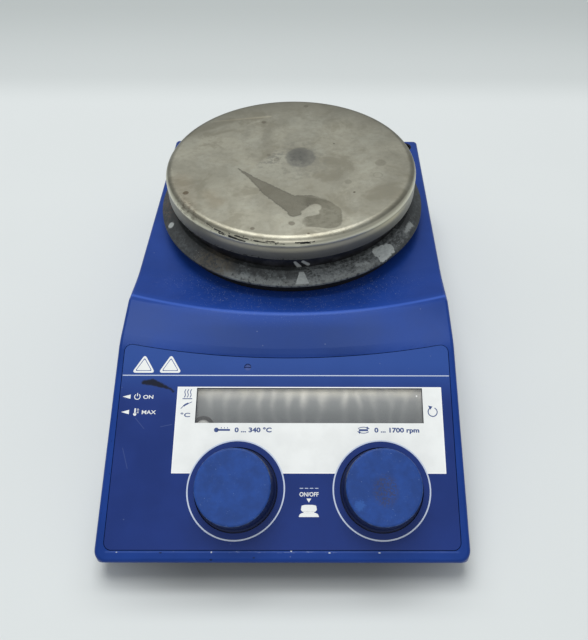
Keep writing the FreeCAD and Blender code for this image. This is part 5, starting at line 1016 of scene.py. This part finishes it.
# ---------------------------------------------------------------------------
# Operators: finishes of the CAD nodes
# ---------------------------------------------------------------------------
class STIRRER_OT_housing_finishes(bpy.types.Operator):
    """Blue casting, base pan, feet, screws and stand bush."""
    bl_idname = "stirrer.housing_finishes"
    bl_label = "Housing finishes"

    def execute(self, context):
        paint(blue_coat(), "upper_housing")
        paint(moulded("powder_coat", (0.030, 0.031, 0.034), 0.55, 2.0, 0.04), "base_pan")
        paint(moulded("foot_rubber", (0.018, 0.018, 0.018), 0.75, 1.6, 0.05, seed=2.0),
              "foot_front_left", "foot_front_right", "foot_rear_left", "foot_rear_right")
        paint(metal("zinc_screws", (0.56, 0.56, 0.55), 0.30, 1.6), "base_screws", "board_screws",
              "encoder_nuts", "motor_screws", "standoff_screws")
        paint(moulded("painted_screw", (0.022, 0.062, 0.27), 0.40, 1.6, 0.02), "panel_screw")
        paint(metal("blackened_bush", (0.03, 0.03, 0.034), 0.38, 1.0, (1.0, 1.0, 5.0)), "stand_bush")
        return {"FINISHED"}


class STIRRER_OT_panel_finishes(bpy.types.Operator):
    """Panel plate, foil, display and everything under them."""
    bl_idname = "stirrer.panel_finishes"
    bl_label = "Panel finishes"

    def execute(self, context):
        paint(foil_film(), "panel_foil")
        paint(moulded("panel_plastic", darker(colours().foil, 0.55), 0.42, 1.8, 0.015), "control_panel")
        paint(clear_window(), "display_window")
        paint(silver_display(), "lcd_cell")
        paint(moulded("holder_plastic", (0.70, 0.70, 0.66), 0.5, 1.0, 0.02), "lcd_holder")
        paint(circuit_board(), "display_board", "main_board")
        paint(ribbon_stripes(), "ribbon_cable")
        return {"FINISHED"}


class STIRRER_OT_control_finishes(bpy.types.Operator):
    """Knobs with their shafts, plungers and encoders."""
    bl_idname = "stirrer.control_finishes"
    bl_label = "Control finishes"

    def execute(self, context):
        paint(knob_plastic("temperature_knob_blue", 3.0, False), "temperature_knob")
        paint(knob_plastic("speed_knob_blue", 21.0, True), "speed_knob")
        paint(metal("turned_brass", (0.62, 0.47, 0.22), 0.26, 1.4, (1.0, 1.0, 4.0)),
              "temperature_shaft", "speed_shaft", "safe_temperature_adjuster")
        paint(moulded("plunger_plastic", (0.72, 0.72, 0.69), 0.4, 1.0, 0.01),
              "temperature_plunger", "speed_plunger")
        paint(metal("stamped_case", (0.50, 0.50, 0.49), 0.36, 0.9, seed=4.0),
              "temperature_encoder", "speed_encoder")
        return {"FINISHED"}


class STIRRER_OT_plate_finishes(bpy.types.Operator):
    """Heating plate and what carries it."""
    bl_idname = "stirrer.plate_finishes"
    bl_label = "Plate finishes"

    def execute(self, context):
        paint(stained_steel(), "heating_plate")
        paint(weathered_enamel(), "skirt_ring")
        paint(black_enamel(), "neck_ring")
        # The collar's near-black is partly painted shade: it also stands in for the shade under the flared ring.
        paint(moulded("collar_black", (0.010, 0.010, 0.011), 0.5, 0.8, 0.05), "insulating_collar")
        paint(metal("heat_tinted", (0.20, 0.16, 0.14), 0.42, 0.6, tarnish=0.7),
              "heating_element", "heater_clamp")
        paint(mineral_board(), "insulation_disc")
        paint(metal("polished_sleeve", (0.66, 0.66, 0.66), 0.16, 1.5), "temperature_sensor")
        paint(metal("rolled_aluminium", (0.74, 0.74, 0.75), 0.28, 0.5, (6.0, 1.0, 1.0)), "heat_shield")
        paint(metal("turned_steel", (0.58, 0.58, 0.57), 0.28, 1.0, (1.0, 1.0, 5.0)), "plate_standoffs")
        paint(braided_sleeve(), "heater_leads")
        return {"FINISHED"}


class STIRRER_OT_drive_finishes(bpy.types.Operator):
    """Motor, bracket, seal and magnets."""
    bl_idname = "stirrer.drive_finishes"
    bl_label = "Drive finishes"

    def execute(self, context):
        paint(metal("drawn_steel", (0.44, 0.44, 0.44), 0.34, 0.8, (1.0, 1.0, 4.0)),
              "motor_can", "motor_end_cap")
        paint(metal("bracket_steel", (0.48, 0.47, 0.44), 0.38, 0.6, (4.0, 1.0, 1.0), seed=6.0),
              "motor_bracket", "magnet_carrier")
        paint(metal("ground_steel", (0.66, 0.66, 0.66), 0.18, 2.4, (1.0, 1.0, 6.0)),
              "motor_shaft", "motor_bearings")
        paint(stacked_sheets("stack_iron", (0.26, 0.26, 0.27), "z"), "motor_stator", "motor_rotor")
        paint(wound_wire("winding_wire", (0.70, 0.24, 0.09), "x"), "motor_windings")
        paint(moulded("seal_rubber", (0.014, 0.014, 0.015), 0.6, 2.2, 0.03), "shaft_seal")
        paint(moulded("ferrite", (0.035, 0.035, 0.038), 0.5, 0.9, 0.05, metallic=0.35), "drive_magnets")
        return {"FINISHED"}


class STIRRER_OT_electric_finishes(bpy.types.Operator):
    """Transformer, capacitors, inlet, switch, sensor socket and adjuster."""
    bl_idname = "stirrer.electric_finishes"
    bl_label = "Electric finishes"

    def execute(self, context):
        paint(stacked_sheets("transformer_iron", (0.20, 0.20, 0.21), "y", 1.1), "power_transformer")
        paint(moulded("capacitor_sleeve", (0.015, 0.028, 0.09), 0.3, 0.8, 0.01), "smoothing_capacitors")
        paint(moulded("connector_black", (0.013, 0.013, 0.014), 0.42, 1.8, 0.03),
              "mains_inlet", "sensor_socket", "switch_body")
        paint(moulded("rocker_black", (0.011, 0.011, 0.012), 0.24, 1.0, 0.006), "power_rocker")
        paint(metal("nickel_pins", (0.70, 0.67, 0.60), 0.22, 1.4), "inlet_pins")
        paint(moulded("adjuster_plastic", (0.20, 0.20, 0.20), 0.5, 1.4, 0.03), "adjuster_body")
        return {"FINISHED"}


# ---------------------------------------------------------------------------
# Operators: print on the panel
# ---------------------------------------------------------------------------
# Middle lines, along the panel, of the two marks at the left and of the marks before the number ranges.
POWER_ROW, WARMTH_ROW, RANGE_ROW = 70.3, 63.2, 55.15


def knob_spot(side):
    return KNOB_MIDDLES[side].x, sizes().knob_along


class STIRRER_OT_white_area(bpy.types.Operator):
    """White area round the display and over the knobs, with its brighter outline."""
    bl_idname = "stirrer.white_area"
    bl_label = "White area"

    def outline(self, grow):
        """The area's edge, moved outwards by grow, with a bay for each knob."""
        s = sizes()
        radius = s.ring_radius - s.ring_line - grow
        low = s.area_bottom - grow
        points = [(s.area_left - grow, low)]
        for side in ("temperature", "speed"):
            centre = knob_spot(side)
            angle = math.degrees(math.asin((low - centre[1]) / radius))
            points += arc(centre, radius, 180.0 - angle, angle)
        points += [(s.area_right + grow, low), (s.area_right + grow, s.area_top + grow),
                   (s.area_left - grow, s.area_top + grow)]
        return points

    def execute(self, context):
        s = sizes()
        left, right = s.window_left + s.window_cover, s.window_right - s.window_cover
        low, high = s.window_bottom + s.window_cover, s.window_top - s.window_cover
        hole = corners_of(left, right, low, high)
        white = film_ink("white_ink", colours().ink)
        film_piece("white_area", [slab_parts(self.outline(-s.outline), [hole])], white, 0.0)
        border = film_ink("border_ink", tuple(min(c * 1.08, 1.0) for c in colours().ink), 0.02)
        film_piece("area_border", [slab_parts(self.outline(0.0), [self.outline(-s.outline)])], border, 0.0)
        return {"FINISHED"}


class STIRRER_OT_pale_lines(bpy.types.Operator):
    """Line across the panel, ring round each knob and the marks on the blue ground."""
    bl_idname = "stirrer.pale_lines"
    bl_label = "Pale lines"

    def execute(self, context):
        s = sizes()
        pale = film_ink("pale_ink", colours().pale_ink)
        white = film_ink("mark_ink", colours().ink)
        low = s.rule_along - s.rule_line / 2
        rule = corners_of(-s.rule_half, s.rule_half, low, low + s.rule_line)
        film_piece("panel_rule", [slab_parts(rule)], pale, 0.0)
        for side in KNOB_MIDDLES:
            ring = ring_slab(knob_spot(side), s.ring_radius, s.ring_radius - s.ring_line)
            film_piece(f"{side}_ring", [ring], pale, s.film)
        self.triangles(white)
        arrows = [slab_parts([(-74.4, along), (-70.8, along - 1.0), (-70.8, along + 1.0)])
                  for along in (POWER_ROW, WARMTH_ROW)]
        film_piece("side_arrows", arrows, white, 0.0)
        self.power_mark((-67.7, POWER_ROW), white)
        word("power_word", "ON", -65.0, -60.4, 69.35, 1.75, white, 0.0, bold=0.04)
        self.warmth_mark((-68.1, WARMTH_ROW), white)
        word("warmth_word", "MAX", -65.0, -58.6, 62.3, 1.75, white, 0.0, bold=0.04)
        self.push_mark(white, pale)
        return {"FINISHED"}

    def triangles(self, ink):
        """Two plain triangles, each a frame round a filled core."""
        slabs = []
        for middle in (-66.0, -53.7):
            outer = [(middle - 5.4, 81.6), (middle + 5.4, 81.6), (middle, 90.4)]
            inner = [(middle - 3.9, 82.5), (middle + 3.9, 82.5), (middle, 88.8)]
            core = [(middle - 3.4, 82.8), (middle + 3.4, 82.8), (middle, 88.2)]
            slabs.append(slab_parts(rounded(outer, 1.1), [rounded(inner, 0.5)]))
            slabs.append(slab_parts(rounded(core, 0.4)))
        film_piece("plain_triangles", slabs, ink, 0.0)

    def power_mark(self, centre, ink):
        """A ring that is open at the top, with a bar in the opening."""
        x, y = centre
        ring = line_slab(arc(centre, 1.25, 125.0, 415.0, 32), 0.36)
        bar = line_slab([(x, y + 0.2), (x, y + 1.7)], 0.36)
        film_piece("power_mark", [ring, bar], ink, 0.0)

    def warmth_mark(self, centre, ink):
        """A small upright thermometer with three ticks."""
        x, y = centre
        bulb = circle((x, y - 1.0), 0.72, 24)
        tube = rounded(corners_of(x - 0.34, x + 0.34, y - 0.8, y + 1.7), 0.2)
        ticks = [line_slab([(x + 0.8, y + rise), (x + 1.7, y + rise)], 0.28) for rise in (1.3, 0.5, -0.3)]
        film_piece("warmth_mark", [slab_parts(bulb), slab_parts(tube)] + ticks, ink, 0.0)

    def push_mark(self, ink, thin_ink):
        """Dashes and words between the knobs, an arrow down and a knob seen from the side."""
        dashes = [line_slab([(left, 29.7), (left + 1.5, 29.7)], 0.30) for left in (7.0, 9.2, 11.4, 13.6)]
        film_piece("push_bar", dashes, thin_ink, 0.0)
        word("push_words", "ON/OFF", 6.9, 15.2, 26.3, 1.8, ink, 0.0, bold=0.05)
        film_piece("push_arrow", [slab_parts([(9.95, 25.4), (11.0, 23.7), (12.05, 25.4)])], ink, 0.0)
        cap = [(8.3, 19.9), (13.8, 19.9), (14.5, 20.6), (14.2, 22.4),
               (12.6, 22.75), (9.5, 22.75), (7.9, 22.4), (7.6, 20.6)]
        foot = [(6.6, 17.7), (15.5, 17.7), (14.9, 18.9), (13.9, 19.4), (8.2, 19.4), (7.2, 18.9)]
        neck = corners_of(8.7, 13.4, 19.3, 20.0)
        parts = [slab_parts(rounded(cap, 0.25)), slab_parts(rounded(foot, 0.2)), slab_parts(neck)]
        film_piece("push_knob", parts, ink, 0.0)


class STIRRER_OT_blue_marks(bpy.types.Operator):
    """Number ranges and plain signs on the white area."""
    bl_idname = "stirrer.blue_marks"
    bl_label = "Blue marks"

    def execute(self, context):
        ink = film_ink("blue_ink", colours().blue_ink)
        level = sizes().film
        word("temperature_range", "0 ... 340 °C", -22.6, -6.0, 54.2, 2.05, ink, level, bold=0.10)
        word("speed_range", "0 ... 1700 rpm", 40.2, 60.4, 54.2, 2.05, ink, level, bold=0.10)
        word("degree_sign", "°C", -47.4, -43.0, 61.0, 1.9, ink, level, bold=0.045)
        self.lying_thermometer(ink, level)
        self.stirring_bar(ink, level)
        self.heat_sign(ink, level)
        self.probe_sign(ink, level)
        self.turn_sign(ink, level)
        return {"FINISHED"}

    def lying_thermometer(self, ink, level):
        """A thermometer on its side, before the temperature range."""
        bulb = circle((-30.8, RANGE_ROW), 1.05, 28)
        tube = rounded(corners_of(-30.4, -24.6, RANGE_ROW - 0.42, RANGE_ROW + 0.42), 0.3)
        ticks = [line_slab([(x, RANGE_ROW + 0.7), (x, RANGE_ROW + 1.25)], 0.3) for x in (-28.6, -27.2, -25.8)]
        film_piece("lying_thermometer", [slab_parts(bulb), slab_parts(tube)] + ticks, ink, level)

    def stirring_bar(self, ink, level):
        """A stirring bar between two bent arrows, before the speed range."""
        bar = rounded(corners_of(33.2, 37.4, RANGE_ROW - 0.45, RANGE_ROW + 0.45), 0.4)
        slabs = [slab_parts(bar)]
        for side in (1, -1):
            turns = [math.radians(degrees) for degrees in range(30, 136, 7)]
            bow = [(35.3 - side * 2.7 * math.cos(turn), RANGE_ROW + side * 1.35 * math.sin(turn))
                   for turn in turns]
            slabs.append(line_slab(bow, 0.3))
            x, y = bow[-1]
            slabs.append(slab_parts([(x - side * 0.3, y + side * 0.75), (x + side * 0.95, y - side * 0.45),
                                     (x - side * 0.55, y - side * 0.35)]))
        film_piece("stirring_bar", slabs, ink, level)

    def heat_sign(self, ink, level):
        """Three rising waves over a bar."""
        slabs = [line_slab([(-47.0, 69.4), (-42.6, 69.4)], 0.38)]
        for start in (-46.3, -45.0, -43.7):
            wave = [(start + 0.32 * math.sin(step * math.pi / 5) + step * 0.06, 70.0 + step * 0.38)
                    for step in range(11)]
            slabs.append(line_slab(wave, 0.36))
        film_piece("heat_sign", slabs, ink, level)

    def probe_sign(self, ink, level):
        """A probe with its handle."""
        tip = line_slab([(-47.5, 64.8), (-46.2, 66.2)], 0.3)
        handle = line_slab([(-46.3, 66.0), (-45.4, 66.7), (-44.2, 67.3)], 0.75)
        lead = line_slab([(-44.3, 67.2), (-43.4, 67.5), (-42.6, 68.0)], 0.3)
        film_piece("probe_sign", [tip, handle, lead], ink, level)

    def turn_sign(self, ink, level):
        """A round arrow."""
        x, y = 66.9, 63.5
        ring = line_slab(arc((x, y), 2.05, 62.0, -240.0, 40), 0.42)
        tip = slab_parts([(x - 1.95, y + 2.9), (x + 0.05, y + 2.5), (x - 1.0, y + 1.0)])
        film_piece("turn_sign", [ring, tip], ink, level)


# ---------------------------------------------------------------------------
# Operators: small repeated pieces
# ---------------------------------------------------------------------------
def grown(name, build, values, body, material):
    """Runs a geometry tree with named inputs and returns its result as a plain piece."""
    tree = bpy.data.node_groups.new(name + "_tree", "GeometryNodeTree")
    tree.interface.new_socket("Geometry", in_out="OUTPUT", socket_type="NodeSocketGeometry")
    sockets = {}
    for label, (kind, value) in values.items():
        sockets[label] = tree.interface.new_socket(label, in_out="INPUT", socket_type=kind)
    graph = Graph(tree)
    entry = graph.node("NodeGroupInput")
    result = build(graph, entry.outputs)
    real = graph.node("GeometryNodeRealizeInstances", Geometry=result)
    coloured = graph.node("GeometryNodeSetMaterial", Geometry=real.outputs[0], Material=material)
    graph.node("NodeGroupOutput", in0=coloured.outputs[0])
    holder = bpy.data.objects.new(name + "_maker", bpy.data.meshes.new(name + "_start"))
    bpy.context.scene.collection.objects.link(holder)
    modifier = holder.modifiers.new("Maker", "NODES")
    modifier.node_group = tree
    for label, (kind, value) in values.items():
        modifier[sockets[label].identifier] = value
    bpy.context.view_layer.update()
    mesh = bpy.data.meshes.new_from_object(holder.evaluated_get(bpy.context.evaluated_depsgraph_get()))
    bpy.data.objects.remove(holder)
    if not mesh.polygons:
        raise RuntimeError(f"{name} came out empty")
    mesh.name = name
    return to_object(name, mesh, body, material)


class STIRRER_OT_rod_thread(bpy.types.Operator):
    """Thread in the stand rod's bush."""
    bl_idname = "stirrer.rod_thread"
    bl_label = "Rod thread"

    def execute(self, context):
        d = details()
        low, high = (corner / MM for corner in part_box("stand_bush"))
        rod = next(mount for mount in frame["record"]["mounts"] if mount["name"] == "stand_rod")
        radius, length = rod["dims"]["r_mm"], rod["dims"]["length_mm"]
        turns = int(length / d.thread_pitch) - 1

        def build(graph, inputs):
            helix = graph.node("GeometryNodeCurveSpiral", Resolution=28, Rotations=inputs["Turns"],
                               Start_Radius=inputs["Radius"], End_Radius=inputs["Radius"],
                               Height=inputs["Length"])
            ridge = graph.node("GeometryNodeCurvePrimitiveCircle", {"mode": "RADIUS"},
                               Resolution=5, Radius=inputs["Depth"])
            swept = graph.node("GeometryNodeCurveToMesh", Curve=helix.outputs[0],
                               Profile_Curve=ridge.outputs[0], Fill_Caps=True)
            moved = graph.node("GeometryNodeTransform", Geometry=swept.outputs[0],
                               Translation=inputs["Place"])
            return moved.outputs[0]

        middle = (low + high) / 2
        foot = high.z - length - 0.3
        grown("rod_thread", build, {
            "Turns": ("NodeSocketFloat", float(turns)), "Radius": ("NodeSocketFloat", radius * MM),
            "Length": ("NodeSocketFloat", turns * d.thread_pitch * MM),
            "Depth": ("NodeSocketFloat", d.thread_depth * MM),
            "Place": ("NodeSocketVector", (middle.x * MM, middle.y * MM, foot * MM))},
            "housing", metal("thread_steel", (0.06, 0.06, 0.065), 0.34, 2.0))
        return {"FINISHED"}


# How far in from the display's left, right and lower edge the row of contacts is.
ROW_LEFT, ROW_RIGHT, ROW_ALONG = 5.0, 3.0, 2.6


class STIRRER_OT_display_contacts(bpy.types.Operator):
    """Row of contacts between the display cell and its board."""
    bl_idname = "stirrer.display_contacts"
    bl_label = "Display contacts"

    def execute(self, context):
        d, s = details(), sizes()
        count = int((s.window_right - s.window_left - ROW_LEFT - ROW_RIGHT) / d.contact_pitch)
        pin_size = (d.contact_width, d.contact_thickness, d.contact_height)

        def build(graph, inputs):
            row = graph.node("GeometryNodeMeshLine", {"mode": "OFFSET"}, Count=inputs["Count"],
                             Start_Location=inputs["Start"], Offset=inputs["Step"])
            pin = graph.node("GeometryNodeMeshCube", Size=inputs["Pin"])
            pins = graph.node("GeometryNodeInstanceOnPoints", Points=row.outputs[0],
                              Instance=pin.outputs[0], Rotation=inputs["Tilt"])
            return pins.outputs[0]

        level = -d.contact_depth + d.contact_height / 2
        start = panel_matrix(level) @ Vector((s.window_left + ROW_LEFT, s.window_bottom + ROW_ALONG, 0))
        grown("display_contacts", build, {
            "Count": ("NodeSocketInt", count), "Start": ("NodeSocketVector", tuple(start)),
            "Step": ("NodeSocketVector", (d.contact_pitch * MM, 0.0, 0.0)),
            "Pin": ("NodeSocketVector", tuple(length * MM for length in pin_size)),
            "Tilt": ("NodeSocketVector", (math.atan2(PANEL_UP.z, PANEL_UP.y), 0.0, 0.0))},
            "housing", metal("contact_tin", (0.62, 0.60, 0.55), 0.25, 2.0))
        return {"FINISHED"}


# ---------------------------------------------------------------------------
# Stage
# ---------------------------------------------------------------------------
# Lengths here are metres. A light has its place, aim, side and share of the main light's power.
FLOOR_HALF = 4.0
ROOM_COLOUR = (0.955, 0.985, 1.0, 1.0)
LIGHTS = {"window_light": ((-0.27, 1.10, 3.10), (0.0, 0.0, 0.04), 2.2, 1.0),
          "front_light": ((0.0, -1.70, 2.10), (0.0, 0.0, 0.05), 1.6, 0.15)}
CAMERA_PLACE = (0.01543, -0.24509, 0.27895)
CAMERA_SHIFT = (-0.0441, 0.0033)


def floor_paper(stage):
    """Pale paper with painted shade: it darkens softly far behind the stirrer and close in front of it."""
    f = Finish("floor_paper")
    cloud = f.noise(0.006, 3.0)
    f.ground(cloud.rise(0.3, 0.7), stage.floor, 0.985, 1.0)
    # Painted shade: the paper darkens far behind the stirrer.
    near = f.y.rise(stage.fade_from, stage.fade_from + 60.0) * 0.45
    far = f.y.rise(stage.fade_from + 30.0, stage.fade_to) * 0.55
    f.lay(near + far, stage.far_floor)
    # Deeper shade on the paper in front of the undercut front edge.
    shaded = (f.y.rise(-155.0, -143.0) * 0.27 + f.y.rise(-144.0, -138.0) * 0.29) * f.y.rise(-60.0, -100.0)
    f.lay(shaded * abs(f.x).rise(98.0, 34.0), (0.0, 0.0, 0.0))
    return f.surface(cloud * 0.05 + 0.6)


class STIRRER_OT_stage(bpy.types.Operator):
    """Floor, soft lights and camera."""
    bl_idname = "stirrer.stage"
    bl_label = "Stage"

    def execute(self, context):
        scene, stage = context.scene, context.scene.stirrer_stage
        self.floor(stage)
        self.lights(scene, stage)
        self.camera(scene, stage)
        scene.view_settings.view_transform = "Standard"
        return {"FINISHED"}

    def floor(self, stage):
        """One large sheet under and behind the stirrer."""
        corners = [(x, y, 0) for x, y in corners_of(-FLOOR_HALF, FLOOR_HALF, -FLOOR_HALF, FLOOR_HALF)]
        mesh = bpy.data.meshes.new("floor")
        mesh.from_pydata(corners, [], [(0, 1, 2, 3)])
        mesh.materials.append(floor_paper(stage))
        piece = bpy.data.objects.new("floor", mesh)
        bpy.context.scene.collection.objects.link(piece)

    def lights(self, scene, stage):
        world = bpy.data.worlds.new("room")
        world.use_nodes = True
        background = world.node_tree.nodes["Background"]
        background.inputs["Color"].default_value = ROOM_COLOUR
        background.inputs["Strength"].default_value = stage.fill
        scene.world = world
        for name, (place, aim, side, share) in LIGHTS.items():
            data = bpy.data.lights.new(name, "AREA")
            data.size, data.energy = side, stage.light_watts * share
            lamp = bpy.data.objects.new(name, data)
            lamp.location = place
            lamp.rotation_euler = (Vector(aim) - Vector(place)).to_track_quat("-Z", "Y").to_euler()
            scene.collection.objects.link(lamp)

    def camera(self, scene, stage):
        data = bpy.data.cameras.new("camera")
        data.sensor_fit, data.sensor_height, data.lens = "VERTICAL", 36.0, stage.lens
        data.shift_x, data.shift_y = CAMERA_SHIFT
        data.clip_start, data.clip_end = 0.01, 20.0
        camera = bpy.data.objects.new("camera", data)
        camera.location = CAMERA_PLACE
        turn = Matrix.Rotation(math.radians(-stage.camera_pan), 3, "Z")
        turn = turn @ Matrix.Rotation(math.radians(90.0 - stage.camera_tilt), 3, "X")
        camera.rotation_euler = (turn @ Matrix.Rotation(math.radians(stage.camera_roll), 3, "Z")).to_euler()
        scene.collection.objects.link(camera)
        scene.camera = camera


class STIRRER_PT_panel(bpy.types.Panel):
    """Every step of the stirrer's dressing, with its sizes and colours."""
    bl_idname = "STIRRER_PT_panel"
    bl_label = "Magnetic stirrer"
    bl_space_type = "VIEW_3D"
    bl_region_type = "UI"
    bl_category = "Stirrer"

    def draw(self, context):
        for step in STEPS:
            self.layout.operator(step.bl_idname)
        for group in ("stirrer_print", "stirrer_details", "stirrer_colours", "stirrer_stage"):
            box = self.layout.box()
            settings = getattr(context.scene, group)
            for name in settings.__annotations__:
                box.prop(settings, name)


GROUPS = {"stirrer_print": StirrerPrintSizes, "stirrer_details": StirrerDetailSizes,
          "stirrer_colours": StirrerColours, "stirrer_stage": StirrerStage}
STEPS = (STIRRER_OT_housing_finishes, STIRRER_OT_panel_finishes, STIRRER_OT_control_finishes,
         STIRRER_OT_plate_finishes, STIRRER_OT_drive_finishes, STIRRER_OT_electric_finishes,
         STIRRER_OT_white_area, STIRRER_OT_pale_lines, STIRRER_OT_blue_marks, STIRRER_OT_rod_thread,
         STIRRER_OT_display_contacts, STIRRER_OT_stage)


def register():
    for made in (*GROUPS.values(), *STEPS, STIRRER_PT_panel):
        bpy.utils.register_class(made)
    for name, group in GROUPS.items():
        setattr(bpy.types.Scene, name, PointerProperty(type=group))


def unregister():
    for name in GROUPS:
        delattr(bpy.types.Scene, name)
    for made in reversed((*GROUPS.values(), *STEPS, STIRRER_PT_panel)):
        bpy.utils.unregister_class(made)


def main():
    register()
    for step in STEPS:
        category, name = step.bl_idname.split(".")
        getattr(getattr(bpy.ops, category), name)()


if __name__ == "__main__":
    main()
